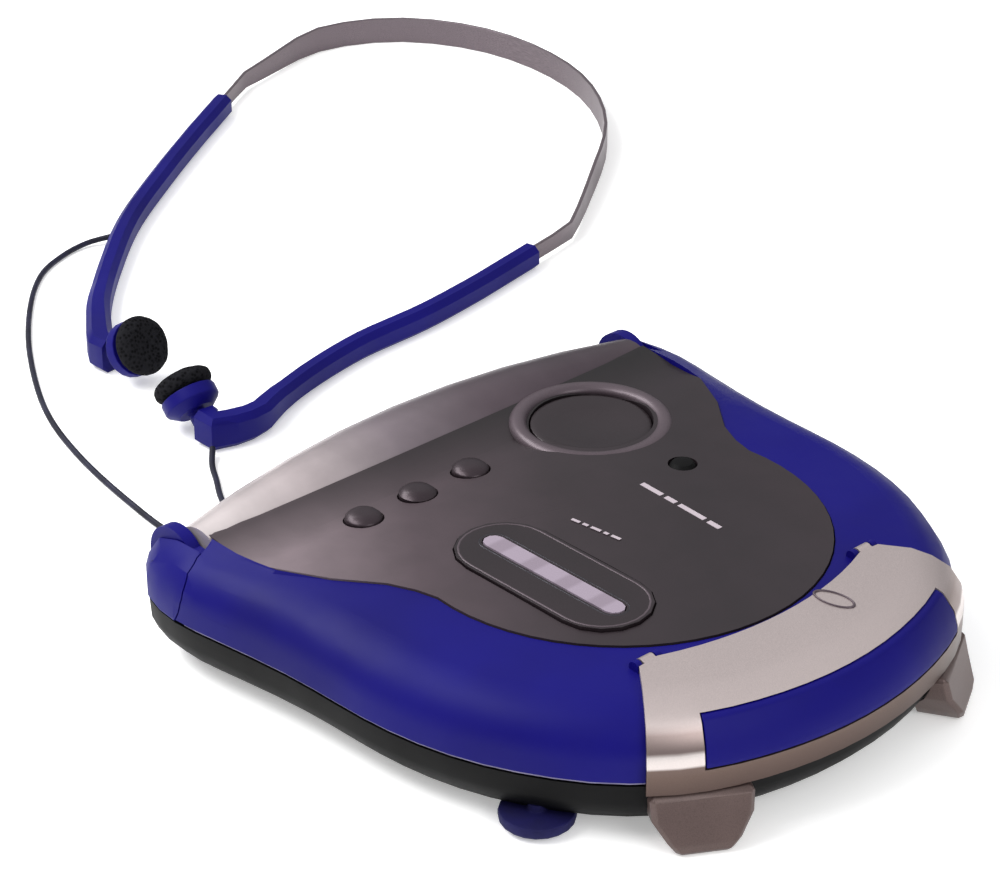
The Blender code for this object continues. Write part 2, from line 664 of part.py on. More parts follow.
def button(name, x, y, radius, proud, look):
    under = LEDGE + GAP
    top = panel_height(x, y) + proud
    profile = [(radius + 0.7 * MM, under - 2.1 * MM), (radius + 0.7 * MM, under - GAP),
               (radius, under - GAP),
               (radius, top - 1.2 * MM), (radius * 0.75, top - GAP), (radius * 0.3, top)]
    middle = (x, y, 0)
    finish(name, lofted(turned(middle, "Z", profile, 16)), look, (x, y, under))


def control_pad():
    x, y = PAD_CENTRE
    top = panel_height(x, y)
    profile = [(5 * MM, LEDGE - 1.7 * MM), (5 * MM, LEDGE - 0.6 * MM), (PAD_RADIUS, LEDGE - 0.6 * MM),
               (PAD_RADIUS, top - 0.5 * MM), (PAD_RADIUS - 1.6 * MM, top), (PAD_RADIUS * 0.6,
                                                                            top - 0.9 * MM),
               (PAD_RADIUS * 0.15, top - 1.2 * MM)]
    finish("control_pad", lofted(turned((x, y, 0), "Z", profile, 36)), GUNMETAL, (x, y, LEDGE))


def display():
    top = panel_height(*DISPLAY_CENTRE) + 0.3 * MM
    under = LEDGE + GAP
    bezel = finish("display_bezel", flat(racetrack(DISPLAY_CENTRE, BEZEL_LENGTH, BEZEL_WIDTH), under, top),
                   GUNMETAL, HINGE)
    slot = racetrack(DISPLAY_CENTRE, WINDOW_LENGTH + 2 * GAP, WINDOW_WIDTH + 2 * GAP, 5)
    cut(bezel, helper("window_slot", flat(slot, 0, 0.04)))
    window = racetrack(DISPLAY_CENTRE, WINDOW_LENGTH, WINDOW_WIDTH, 5)
    finish("display_window", flat(window, LEDGE - 1.8 * MM, top + 0.1 * MM), DISPLAY, HINGE)


def control_board():
    low = LINER_UNDER + LINER_THICK + MM
    ends = (PAD_CENTRE[1] + PAD_RADIUS + 3 * MM, BUTTON_YS[0] - 9 * MM)
    made = finish("control_board",
                  box((HINGE_X + 13.5 * MM, ends[1], low), (MODE_CENTRE[0] + 5 * MM, ends[0], low + MM)),
                  BOARD, HINGE)
    cut(made, helper("board_barrel_seat", barrel_form(1.2 * MM, 0.1)))


# ---------------------------------------------------------------- drive

def drive():
    low_y = -SLED_START - SLED_TRAVEL - SLED_HALF - 1.6 * MM
    high_y = TURNTABLE_RADIUS + MM
    left = DISC_CENTRE - ROD_SPAN - 2 * MM
    right = DISC_CENTRE + ROD_SPAN + 2 * MM
    plate_top = FLOOR + 1.3 * MM
    chassis = finish("drive_chassis", box((left, low_y, FLOOR + 0.4 * MM), (right, high_y, plate_top)),
                     STEEL)
    for name, y in (("chassis_end_near", low_y), ("chassis_end_far", high_y - 1.2 * MM)):
        join(chassis,
             helper(name,
                    box((left, y, plate_top - 0.5 * MM), (right, y + 1.2 * MM, ROD_HEIGHT + 2.2 * MM))))
    rod_x = DISC_CENTRE - ROD_SPAN
    screw_x = DISC_CENTRE + ROD_SPAN
    for name, x, radius in (("rod_hole", rod_x, ROD_RADIUS + GAP),
                            ("screw_hole", screw_x, SCREW_RADIUS + RUN)):
        cut(chassis, helper(name, rod((x, 0, ROD_HEIGHT), "Y", radius, low_y - MM, high_y + MM, 16)))
    finish("guide_rod",
           rod((rod_x, 0, ROD_HEIGHT), "Y", ROD_RADIUS, low_y - 0.8 * MM, high_y + 0.8 * MM, 12), STEEL)
    screw_start = high_y + 1.5 * MM
    finish("lead_screw",
           rod((screw_x, 0, ROD_HEIGHT), "Y", SCREW_RADIUS, low_y - 0.8 * MM, screw_start, 12), STEEL,
           (screw_x, 0, ROD_HEIGHT))
    finish("sled_motor", rod((screw_x, 0, ROD_HEIGHT - 0.4 * MM), "Y", 2.6 * MM, screw_start + GAP,
                             screw_start + 13 * MM), STEEL)
    middle = (DISC_CENTRE, 0, 0)
    finish("spindle_motor",
           rod(middle, "Z", SPINDLE_MOTOR_RADIUS, plate_top + GAP, ROD_HEIGHT + 1.4 * MM, 28), STEEL)
    hub_low = ROD_HEIGHT + 1.4 * MM + GAP
    profile = [(2.5 * MM, hub_low), (2.5 * MM, DECK_TOP - MM), (TURNTABLE_RADIUS, DECK_TOP - MM),
               (TURNTABLE_RADIUS, DECK_TOP + 0.8 * MM), (HUB_RADIUS, DECK_TOP + 0.8 * MM),
               (HUB_RADIUS, DECK_TOP + 2.4 * MM), (HUB_RADIUS * 0.65, DECK_TOP + 3.5 * MM)]
    finish("turntable", lofted(turned(middle, "Z", profile, 32)), BLACK, middle)
    sled(rod_x, screw_x, plate_top)
    aside = DAMPER_RADIUS + 0.8 * MM
    for i, place in enumerate(((left - aside, -SLED_START), (right + aside, -SLED_START),
                               (left - aside, high_y - 6 * MM))):
        profile = [(DAMPER_RADIUS * 0.7, FLOOR + GAP), (DAMPER_RADIUS, FLOOR + 1.4 * MM),
                   (DAMPER_RADIUS, DECK_TOP - DECK_THICK - 2 * MM), (DAMPER_RADIUS * 0.7,
                                                                     DECK_TOP - DECK_THICK - GAP)]
        finish(f"damper_{i + 1}", lofted(turned((*place, 0), "Z", profile, 16)), RUBBER)


def sled(rod_x, screw_x, plate_top):
    low_y, high_y = -SLED_START - SLED_HALF, -SLED_START + SLED_HALF
    top = DECK_TOP - DECK_THICK + 0.1 * MM
    body = finish("pickup_sled",
                  box((rod_x - 2.6 * MM, low_y, plate_top + 0.5 * MM),
                      (screw_x + 2.2 * MM, high_y, top)),
                  BLACK, (DISC_CENTRE, -SLED_START, ROD_HEIGHT))
    cut(body,
        helper("rod_bore",
               rod((rod_x, 0, ROD_HEIGHT), "Y", ROD_RADIUS + RUN, low_y - MM, high_y + MM, 16)))
    under_screw = box((screw_x - 3.2 * MM, low_y - MM, 0),
                      (screw_x + 3 * MM, high_y + MM, ROD_HEIGHT + SCREW_RADIUS + RUN))
    cut(body, helper("screw_clearance", under_screw))
    profile = [(3.6 * MM, top + GAP), (3.6 * MM, top + 0.8 * MM), (2.2 * MM, top + 1.3 * MM)]
    finish("pickup_lens", lofted(turned((DISC_CENTRE, -SLED_START, 0), "Z", profile, 20)), LENS)


def battery():
    low_x, high_x, low_y, high_y = battery_bay()
    start = low_y + 2.5 * MM
    for i, name in enumerate(("battery_cell_rear", "battery_cell_front")):
        x = low_x + GAP + i * (CELL_WIDTH + GAP)
        cell = finish(name, box((x, start, DOOR_THICK + 2 * GAP), (x + CELL_WIDTH, start + CELL_LENGTH - GAP,
                                                                   DOOR_THICK + 2 * GAP + CELL_THICK)), CELL)
        bevel(cell, 1.4 * MM)
    finish("battery_contact",
           box((low_x + MM, low_y + GAP, FLOOR + GAP), (high_x - MM, low_y + 1.2 * MM, FLOOR + 4 * MM)),
           CONTACT)
    inner_x = DISC_CENTRE + ROD_SPAN + 8.5 * MM
    board = box((inner_x, -40 * MM, FLOOR + GAP), (FRONT - 21 * MM, 40 * MM, FLOOR + GAP + 1.2 * MM))
    finish("main_board", board, BOARD)
    door_form = [rim_ring(*BASE_FACE[0]), rim_ring(*BASE_FACE[1])]
    door = finish("battery_door", lofted(door_form), BLACK)
    room = box((low_x - 1.6 * MM, -BODY_WIDTH, -MM), (high_x + 1.6 * MM, high_y + 1.6 * MM, DOOR_THICK))
    keep(door, helper("door_room", room))


# ---------------------------------------------------------------- side fittings, feet, jacks

def wall_y(x):
    """Where the far wall's outer face lies at this x, near its mid height."""
    best = min((p for p in RIM if p[1] > 0), key=lambda p: abs(p[0] - x))
    return best[1] - 0.8 * MM


def side_openings():
    wheel_y = wall_y(WHEEL_X)
    half = WHEEL_RADIUS
    tall = WHEEL_THICK / 2 + RUN
    knob = 3 * MM + SWITCH_TRAVEL + RUN
    return {
        "wheel_slot": box((WHEEL_X - half - RUN, wheel_y - 14 * MM, SIDE_HEIGHT - tall),
                          (WHEEL_X + half + RUN, wheel_y + 5 * MM, SIDE_HEIGHT + tall)),
        "wheel_bearing": rod((WHEEL_X, wheel_y - WHEEL_RADIUS + 1.4 * MM, 0), "Z", 1.5 * MM + RUN,
                             FLOOR + 0.1 * MM,
                             SIDE_HEIGHT, 16),
        "switch_slot": box((SWITCH_X - knob, wall_y(SWITCH_X) - 9 * MM, SIDE_HEIGHT - 1.5 * MM),
                           (SWITCH_X + knob, wall_y(SWITCH_X) + 5 * MM, SIDE_HEIGHT + 1.5 * MM)),
        "switch_room": box((SWITCH_X - knob - 3 * MM, wall_y(SWITCH_X) - 9 * MM, SIDE_HEIGHT - 2.3 * MM),
                           (SWITCH_X + knob + 3 * MM, wall_y(SWITCH_X) - WALL, SIDE_HEIGHT + 3 * MM)),
        "dc_hole": rod((DC_X, wall_y(DC_X), SIDE_HEIGHT), "Y", 2.6 * MM, -8 * MM, 5 * MM),
        "dc_room": box((DC_X - 4.6 * MM, wall_y(DC_X) - 14 * MM, FLOOR + 0.1 * MM),
                       (DC_X + 4.6 * MM, wall_y(DC_X) - WALL - 0.6 * MM, 0.03)),
    }


def side_fittings():
    wheel_y = wall_y(WHEEL_X) - WHEEL_RADIUS + 1.4 * MM
    middle = (WHEEL_X, wheel_y, 0)
    profile = [(1.5 * MM, FLOOR + GAP), (1.5 * MM, SIDE_HEIGHT - WHEEL_THICK / 2),
               (WHEEL_RADIUS, SIDE_HEIGHT - WHEEL_THICK / 2),
               (WHEEL_RADIUS, SIDE_HEIGHT + WHEEL_THICK / 2), (1.5 * MM, SIDE_HEIGHT + WHEEL_THICK / 2),
               (1.5 * MM, DECK_TOP - DECK_THICK - GAP)]
    finish("volume_wheel", lofted(turned(middle, "Z", profile, 28)), BLACK, (WHEEL_X, wheel_y, SIDE_HEIGHT))
    y = wall_y(SWITCH_X)
    knob = finish("hold_switch", box((SWITCH_X - 3 * MM, y - WALL - 1.6 * MM, SIDE_HEIGHT - 1.1 * MM),
                                     (SWITCH_X + 3 * MM, y + 1.2 * MM, SIDE_HEIGHT + 1.1 * MM)),
                  SILVER, (SWITCH_X, y, SIDE_HEIGHT))
    join(knob, helper("switch_flange", box((SWITCH_X - 5.4 * MM, y - WALL - 2 * MM, SIDE_HEIGHT - 1.8 * MM),
                                           (SWITCH_X + 5.4 * MM, y - WALL - 0.8 * MM,
                                            SIDE_HEIGHT + 2 * MM))))
    y = wall_y(DC_X)
    dc = finish("dc_jack",
                box((DC_X - 4.2 * MM, y - 12 * MM, FLOOR + GAP),
                    (DC_X + 4.2 * MM, y - WALL - MM, 8.2 * MM)), BLACK)
    cut(dc, helper("dc_bore", tube_ring((DC_X, y, SIDE_HEIGHT), "Y", 0.8 * MM, 1.9 * MM, -9 * MM, 0, 16)))
    jack = rod((0, JACK_Y, JACK_HEIGHT), "X", JACK_RADIUS, HINGE_X - 2.6 * MM, HINGE_X + 10 * MM, 16)
    jack = finish("headphone_jack", jack, BLACK)
    cut(jack,
        helper("plug_bore",
               rod((0, JACK_Y, JACK_HEIGHT), "X", PLUG_PIN + 0.2 * MM, REAR, HINGE_X + 9 * MM, 16)))
    for name, place in FEET.items():
        profile = [(FOOT_RADIUS * 0.7, GROUND), (FOOT_RADIUS, GROUND + 1.4 * MM), (FOOT_RADIUS, -GAP),
                   (FOOT_STEM, -GAP),
                   (FOOT_STEM, FOOT_STEM_TOP)]
        finish(name, lofted(turned((*place, 0), "Z", profile, 20)), RUBBER)


# ---------------------------------------------------------------- clasp


def rim_at(turn):
    """The rim's distance from the origin in one direction, and its inset factor there."""
    reach = radius_at(RIM, turn)
    step = 0.01
    slope = (radius_at(RIM, turn + step) - radius_at(RIM, turn - step)) / (2 * step) / reach
    return reach, hypot(1, slope)


def clasp_path(turn):
    """Points (distance from the origin, height) down the casing where the clasp lies on it."""
    reach, factor = rim_at(turn)
    start = CLASP_INNER_EDGE + CLASP_EDGE_SWEEP * (turn / CLASP_HALF_ANGLE) ** 2
    shoulder = reach - LID_FACE[-1][0] * factor
    rise = LID_EDGE - LID_FACE[-1][1]
    share = (shoulder - start) / (shoulder - PANEL_RADIUS)
    path = [(start, LID_FACE[-1][1] + rise * share)]
    path += [(reach - inset * factor, height) for inset, height in LID_FACE[::-1]]
    return path + [(reach, CLASP_FOOT)]


def offset_path(path, away):
    """The same path moved square to itself, away from the casing."""
    made = []
    for i, (r, z) in enumerate(path):
        normals = []
        for (ra, za), (rb, zb) in ((path[i - 1], path[i]) if i else (path[0], path[1]),
                                   (path[i], path[i + 1]) if i + 1 < len(path) else (path[-2], path[-1])):
            normals.append(Vector((-(zb - za), rb - ra)).normalized())
        way = (normals[0] + normals[1]).normalized()
        made.append((r + way.x * away, z + way.y * away))
    return made


def clasp_form(half_angle, stations):
    rings = []
    for k in range(stations + 1):
        turn = -half_angle + 2 * half_angle * k / stations
        path = clasp_path(turn)
        section = offset_path(path, GAP + CLASP_THICK) + offset_path(path, GAP)[::-1]
        rings.append([Vector((r * cos(turn), r * sin(turn), z)) for r, z in section])
    return lofted(rings)


def sector(half_angle, low, high):
    turns = [half_angle * (k / 6 - 1) for k in range(13)]
    reach = FRONT + 24 * MM
    outline = [(55 * MM * cos(t), 55 * MM * sin(t)) for t in turns]
    outline += [(reach * cos(t), reach * sin(t)) for t in turns[::-1]]
    return flat(outline, low, high)


def clasp():
    frame = finish("clasp_frame", clasp_form(CLASP_HALF_ANGLE, 16), SILVER, CLASP_AXIS)
    window_half = CLASP_HALF_ANGLE - CLASP_LEG_ANGLE
    bar_top = CLASP_FOOT + CLASP_BAR
    cut(frame, helper("clasp_window", sector(window_half, bar_top, CLASP_WINDOW_TOP)))
    for side in (1, -1):
        for low, high in KNUCKLES:
            low, high = sorted((side * (low - RUN / 2), side * (high + RUN / 2)))
            room = rod(CLASP_AXIS, "Y", KNUCKLE_RADIUS + RUN, low, high, 16)
            cut(frame, helper(f"knuckle_room_{side}_{round(abs(low) / MM)}", room))
        low, high = sorted((side * (KNUCKLES[0][1] + RUN / 2), side * (KNUCKLES[1][0] - RUN / 2)))
        join(frame, helper(f"clasp_ear_{side}", rod(CLASP_AXIS, "Y", KNUCKLE_RADIUS, low, high, 16)))
        low, high = sorted((side * (KNUCKLES[0][0] + 2 * GAP), side * (KNUCKLES[1][1] - 2 * GAP)))
        join(frame, helper(f"trunnion_{side}", rod(CLASP_AXIS, "Y", TRUNNION_RADIUS, low, high, 12)))
    insert = finish("clasp_insert", clasp_form(window_half - GAP / FRONT, 14), BLUE, CLASP_AXIS)
    keep(insert,
         helper("insert_room", sector(window_half - GAP / FRONT, bar_top + GAP, CLASP_WINDOW_TOP - GAP)))


def bumpers():
    """The two dark corner blocks below the clasp's legs, which reach the ground."""
    grown = [rim_ring(inset - GAP * 1.3, height) for inset, height in BASE_FACE]
    grown.insert(0, rim_ring(UNDERSIDE_INSET - GAP, GROUND - MM))
    seat = helper("bumper_seat", lofted(grown))
    top = CLASP_FOOT - 0.5 * MM
    for side, name in ((-1, "bumper_near"), (1, "bumper_far")):
        turn = side * (CLASP_HALF_ANGLE - BUMPER_HALF_WIDTH / FRONT)
        reach, _ = rim_at(turn)
        levels = ((GROUND, BUMPER_PROUD, 0.5), (GROUND + 3 * MM, BUMPER_PROUD, 0.7),
                  (0.4 * top, BUMPER_PROUD * 0.6, 0.96), (top, 1.7 * MM, 1.0))
        rings = []
        for height, proud, share in levels:
            wide = BUMPER_HALF_WIDTH * share
            rings.append([Vector((reach - BUMPER_DEPTH, -wide, height)),
                          Vector((reach + proud, -wide, height)),
                          Vector((reach + proud, wide, height)), Vector((reach - BUMPER_DEPTH, wide,
                                                                         height))])
        block = lofted(rings)
        bmesh.ops.rotate(block, verts=block.verts, cent=(0, 0, 0), matrix=Matrix.Rotation(turn, 3, "Z"))
        made = finish(name, block, DARK_SILVER)
        bevel(made, 1 * MM)
        cut(made, seat)


# ---------------------------------------------------------------- headphones and cords


def bar(path, section):
    """A bar along a flat path. section(share) gives its width, height and middle height there."""
    rings = []
    for i, point in enumerate(path):
        ahead = path[min(i + 1, len(path) - 1)] - path[max(i - 1, 0)]
        side = Vector((-ahead.y, ahead.x, 0)).normalized()
        width, height, middle, corner = section(i / (len(path) - 1))
        ring = []
        for u, v in ((1, 1), (-1, 1), (-1, -1), (1, -1)):
            first = (u * (width / 2 - corner), v * height / 2)
            second = (u * width / 2, v * (height / 2 - corner))
            for across, up in ((first, second) if u * v < 0 else (second, first)):
                ring.append(Vector((point.x, point.y, middle + up)) + side * across)
        rings.append(ring)
    return lofted(rings)


def band():
    steps = (BAND_IN_ARM, BAND_IN_ARM / 2, 0, -6 * MM, -12 * MM, -18 * MM)
    route = [LEFT_MOUTH + LEFT_WAY * step for step in steps]
    route += [Vector((x, y, 0)) * MM for x, y in BAND_ROUTE]
    route += [RIGHT_MOUTH + RIGHT_WAY * step for step in steps[::-1]]
    path = even(spline(route, 8), 9 * MM)

    def section(share):
        edge = min(share, 1 - share)
        grow = min(1.0, max(0.0, (edge - 0.07) / 0.14))
        height = BAND_END_HEIGHT + (BAND_HEIGHT - BAND_END_HEIGHT) * grow
        middle = ARM_MIDDLE + (GROUND + BAND_HEIGHT / 2 + 0.1 * MM - ARM_MIDDLE) * grow
        return BAND_THICK, height, middle, 0.2 * MM
    finish("headband", bar(path, section), BAND_PAINT)


def arm(name, mouth, way, route, ear, facing):
    level = Vector((facing.x, facing.y, 0)).normalized()
    stub = neck_end(ear, facing)
    end = Vector((stub.x, stub.y, 0)) - level * (0.5 * MM + NECK_RADIUS * facing.z)
    points = [mouth, mouth + way * STRAIGHT / 2, mouth + way * STRAIGHT]
    points += [Vector((x, y, 0)) * MM for x, y in route] + [end - level * 4 * MM, end]
    path = even(spline(points, 8), 4.5 * MM)

    def section(share):
        grow = max(0.0, (share - 0.75) / 0.25)
        height = ARM_HEIGHT + 2.5 * MM * grow
        return ARM_WIDTH + 1.4 * MM * grow, height, GROUND + height / 2 + 0.1 * MM, 1.5 * MM
    made = finish(name, bar(path, section), BLUE, mouth)
    inside = [mouth - way * 3 * MM, mouth + way * (BAND_IN_ARM + ARM_TRAVEL + 1.5 * MM)]
    room = (BAND_THICK + 2 * RUN, BAND_END_HEIGHT + 2 * RUN, ARM_MIDDLE, 0.1 * MM)
    cut(made, helper(name + "_slot", bar(inside, lambda share: room)))


def ear_middle(ear, facing):
    """The housing's middle, high enough for the tilted pad and housing to clear the ground."""
    level = hypot(facing.x, facing.y)
    return Vector((ear.x, ear.y, GROUND + EAR_RADIUS * level + EAR_HOUSING_THICK / 2 * facing.z + 0.2 * MM))


def neck_end(ear, facing):
    return ear_middle(ear, facing) - facing * (EAR_HOUSING_THICK / 2 + EAR_NECK)


def earpiece(side, ear, facing):
    middle = ear_middle(ear, facing)
    turn = facing.to_track_quat("X", "Z").to_matrix()
    half = EAR_HOUSING_THICK / 2
    profile = [(NECK_RADIUS, -half - EAR_NECK), (NECK_RADIUS, -half), (EAR_RADIUS * 0.6, -half),
               (EAR_RADIUS * 0.93, -half + 2 * MM), (EAR_RADIUS * 0.93, half)]
    low = half + GAP
    pad = [(EAR_RADIUS * 0.86, low), (EAR_RADIUS, low + 1.2 * MM),
           (EAR_RADIUS, low + EAR_PAD_THICK - 1.6 * MM),
           (EAR_RADIUS * 0.8, low + EAR_PAD_THICK)]
    stub = neck_end(ear, facing)
    for name, shape, look in ((f"ear_housing_{side}", profile, BLUE), (f"ear_pad_{side}", pad, FOAM)):
        bm = lofted(turned((0, 0, 0), "X", shape, 20))
        bmesh.ops.rotate(bm, verts=bm.verts, cent=(0, 0, 0), matrix=turn)
        bmesh.ops.translate(bm, verts=bm.verts, vec=middle)
        finish(name, bm, look, stub)


def cord(name, points, diameter):
    path = even(spline([Vector(point) * MM for point in points], 8), 3 * diameter)
    data = bpy.data.curves.new(name, "CURVE")
    data.dimensions = "3D"
    data.bevel_depth = diameter / 2
    data.bevel_resolution = 2
    data.use_fill_caps = True
    line = data.splines.new("POLY")
    line.points.add(len(path) - 1)
    for spot, point in zip(line.points, path):
        spot.co = (*point, 1)
    data.materials.append(CORD)
    made = bpy.data.objects.new(name, data)
    bpy.context.scene.collection.objects.link(made)


def cords():
    cord("lead_left", LEFT_LEAD, LEAD_DIAMETER)
    cord("lead_right", RIGHT_LEAD, LEAD_DIAMETER)
    cord("plug_cord", PLUG_CORD, CORD_DIAMETER)
    low = GROUND + 0.1 * MM
    half = COIL_HEIGHT / 2
    corner = 1.6 * MM
    profile = []
    for u, v in ((1, -1), (1, 1), (-1, 1), (-1, -1)):
        flat_end = (COIL_RADIUS + u * (COIL_SECTION - corner), low + half + v * half)
        side_end = (COIL_RADIUS + u * COIL_SECTION, low + half + v * (half - corner))
        profile += [flat_end, side_end] if u * v < 0 else [side_end, flat_end]
    finish("cord_coil", lofted(turned((*COIL_CENTRE, 0), "Z", profile, 24), closed=True), CORD)
    split = finish("cord_split", box((SPLIT[0] - 2.5 * MM, SPLIT[1] - 4.5 * MM, low),
                                     (SPLIT[0] + 2.5 * MM, SPLIT[1] + 4.5 * MM, low + 3.2 * MM)), CORD)
    bevel(split, 0.9 * MM)


def plug():
    x = REAR + 0.9 * MM
    front = x + 3.9 * MM
    body = box((x - 3.9 * MM, JACK_Y - 4 * MM, JACK_HEIGHT - 3.8 * MM),
               (front, JACK_Y + 4 * MM, JACK_HEIGHT + 3.8 * MM))
    head = finish("headphone_plug", body, CORD, (x, JACK_Y, JACK_HEIGHT))
    bevel(head, 1 * MM)
    neck = lofted(turned((x, 0, JACK_HEIGHT), "Y",
                         [(1.5 * MM, JACK_Y - 13.5 * MM), (2.3 * MM, JACK_Y - 3 * MM)], 16))
    pin = rod((0, JACK_Y, JACK_HEIGHT), "X", PLUG_PIN, front - MM, front + 14.5 * MM, 16)
    join(head, helper("plug_neck", neck), helper("plug_pin", pin))


def build():
    base_shell()
    deck_plate()
    gasket()
    barrel_cover()
    hinge_parts()
    lid_shell()
    lid_panel()
    lid_liner()
    for i, y in enumerate(BUTTON_YS):
        button(f"button_{i + 1}", BUTTON_X, y, BUTTON_RADIUS, 1.9 * MM, GUNMETAL)
    button("mode_button", *MODE_CENTRE, MODE_RADIUS, 0.8 * MM, BLACK)
    control_pad()
    display()
    control_board()
    drive()
    battery()
    side_fittings()
    clasp()
    bumpers()
    band()
    arm("arm_left", LEFT_MOUTH, LEFT_WAY, LEFT_ARM, LEFT_EAR, LEFT_FACING)
    arm("arm_right", RIGHT_MOUTH, RIGHT_WAY, RIGHT_ARM, RIGHT_EAR, RIGHT_FACING)
    earpiece("left", LEFT_EAR, LEFT_FACING)
    earpiece("right", RIGHT_EAR, RIGHT_FACING)
    plug()
    cords()


build()
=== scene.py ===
import json
from math import cos, hypot, pi, radians, sin

import bpy
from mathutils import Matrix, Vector


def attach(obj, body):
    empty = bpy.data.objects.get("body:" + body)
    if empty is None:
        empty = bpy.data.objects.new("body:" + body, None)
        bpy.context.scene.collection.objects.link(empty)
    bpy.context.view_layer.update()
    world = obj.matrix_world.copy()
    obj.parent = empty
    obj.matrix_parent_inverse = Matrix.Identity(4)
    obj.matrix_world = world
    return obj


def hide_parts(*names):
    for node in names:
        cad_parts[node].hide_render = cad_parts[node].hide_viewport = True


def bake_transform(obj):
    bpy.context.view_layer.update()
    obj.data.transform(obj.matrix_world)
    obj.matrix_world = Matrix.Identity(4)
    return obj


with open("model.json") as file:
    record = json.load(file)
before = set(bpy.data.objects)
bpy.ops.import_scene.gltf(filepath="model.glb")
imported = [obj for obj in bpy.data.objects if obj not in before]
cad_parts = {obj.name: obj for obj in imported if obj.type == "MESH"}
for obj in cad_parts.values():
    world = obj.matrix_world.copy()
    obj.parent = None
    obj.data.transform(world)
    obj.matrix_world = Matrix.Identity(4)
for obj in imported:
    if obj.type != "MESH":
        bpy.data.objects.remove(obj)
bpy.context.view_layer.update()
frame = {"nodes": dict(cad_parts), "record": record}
nodes = frame["nodes"]
record = frame["record"]
mm = 0.001
bodyOf = {node: body for body, held in record["behaviour"]["bodies"].items() for node in held}
slotOf = {row["node"]: row["material_slot"] for row in record["subparts"]}
print("frame loaded")

# camera, room and lights

view = {
    "eye": (455.93, -454.25, 400.97),  # mm
    "target": (20.58, -52.46, 75.51),
    "lens": 125.6,
    "sensor": 36.0,
}
room = {
    "floorTop": -4.0,  # mm, where the feet stand
    "floorColour": "fbfbfa",
    "floorGlow": 0.34,
    "horizonColour": "56565c",
    "zenithColour": "fdfdff",
    "paleAbove": 0.7,  # share of the way up where the sky reaches its palest
    "skyStrength": 0.82,
}
lamps = {  # place and target in mm, size in metres, power in watts
    "keySoftbox": {"place": (-250, -420, 620), "target": (-20, 0, 0), "size": (0.5, 0.35), "power": 3.4},
    "rimSoftbox": {"place": (-560, -160, 520), "target": (-40, 20, 0), "size": (0.5, 0.25), "power": 3.0},
    "sideSoftbox": {"place": (520, -60, 330), "target": (40, 0, 10), "size": (0.3, 0.3), "power": 1.0},
}


def linearFrom(hexColour):
    channels = []
    for i in (0, 2, 4):
        share = int(hexColour[i:i + 2], 16) / 255
        channels.append(share / 12.92 if share <= 0.04045 else ((share + 0.055) / 1.055) ** 2.4)
    return (*channels, 1.0)


def aimedAt(place, target):
    return (Vector(target) - Vector(place)).to_track_quat("-Z", "Y")


def addCamera():
    data = bpy.data.cameras.new("productCamera")
    data.lens = view["lens"]
    data.sensor_width = view["sensor"]
    data.clip_start = 0.01
    camera = bpy.data.objects.new("productCamera", data)
    camera.location = Vector(view["eye"]) * mm
    camera.rotation_mode = "QUATERNION"
    camera.rotation_quaternion = aimedAt(view["eye"], view["target"])
    bpy.context.scene.collection.objects.link(camera)
    bpy.context.scene.camera = camera


def addLamps():
    for name, facts in lamps.items():
        data = bpy.data.lights.new(name, "AREA")
        data.shape = "RECTANGLE"
        data.size, data.size_y = facts["size"]
        data.energy = facts["power"]
        lamp = bpy.data.objects.new(name, data)
        lamp.location = Vector(facts["place"]) * mm
        lamp.rotation_mode = "QUATERNION"
        lamp.rotation_quaternion = aimedAt(facts["place"], facts["target"])
        bpy.context.scene.collection.objects.link(lamp)


def addNode(tree, kind, inputs=None, links=None, stops=(), **settings):
    # stops are a colour ramp's places and tones, from one end to the other
    node = tree.nodes.new(kind)
    for place, tone in stops[1:-1]:
        node.color_ramp.elements.new(place)
    if stops:
        for element, (place, tone) in zip(node.color_ramp.elements, stops):
            element.position = place
            element.color = linearFrom(tone)
    for name, value in settings.items():
        setattr(node, name, value)
    for name, value in (inputs or {}).items():
        node.inputs[name].default_value = value
    for name, source in (links or {}).items():
        tree.links.new(source, node.inputs[name])
    return node


def newSurface(name, **principled):
    surface = bpy.data.materials.new(name)
    surface.use_nodes = True
    shader = surface.node_tree.nodes["Principled BSDF"]
    for socket, value in principled.items():
        shader.inputs[socket.replace("_", " ")].default_value = value
    return surface, surface.node_tree, shader


def addRoom():
    bpy.ops.object.select_all(action="DESELECT")
    bpy.ops.mesh.primitive_plane_add(size=6, location=(0, 0, room["floorTop"] * mm))
    floor = bpy.context.object
    floor.name = "paleFloor"
    pale = linearFrom(room["floorColour"])
    surface, tree, shader = newSurface("paleFloorPaint", Base_Color=pale, Roughness=0.9, Emission_Color=pale,
                                       Emission_Strength=room["floorGlow"])
    floor.data.materials.append(surface)
    world = bpy.data.worlds.new("softDaylight")
    world.use_nodes = True
    # paler overhead than at the sides, so that upright faces fall a little darker
    tree = world.node_tree
    texture = addNode(tree, "ShaderNodeTexCoord")
    split = addNode(tree, "ShaderNodeSeparateXYZ", links={"Vector": texture.outputs["Generated"]})
    ramp = addNode(tree, "ShaderNodeValToRGB", links={"Fac": split.outputs["Z"]},
                   stops=((0.0, room["horizonColour"]), (room["paleAbove"], room["zenithColour"])))
    tree.links.new(ramp.outputs["Color"], tree.nodes["Background"].inputs["Color"])
    world.node_tree.nodes["Background"].inputs["Strength"].default_value = room["skyStrength"]
    bpy.context.scene.world = world
    bpy.context.scene.view_settings.view_transform = "Standard"


addCamera()
addLamps()
addRoom()
print("camera, lamps and floor placed")

# materials

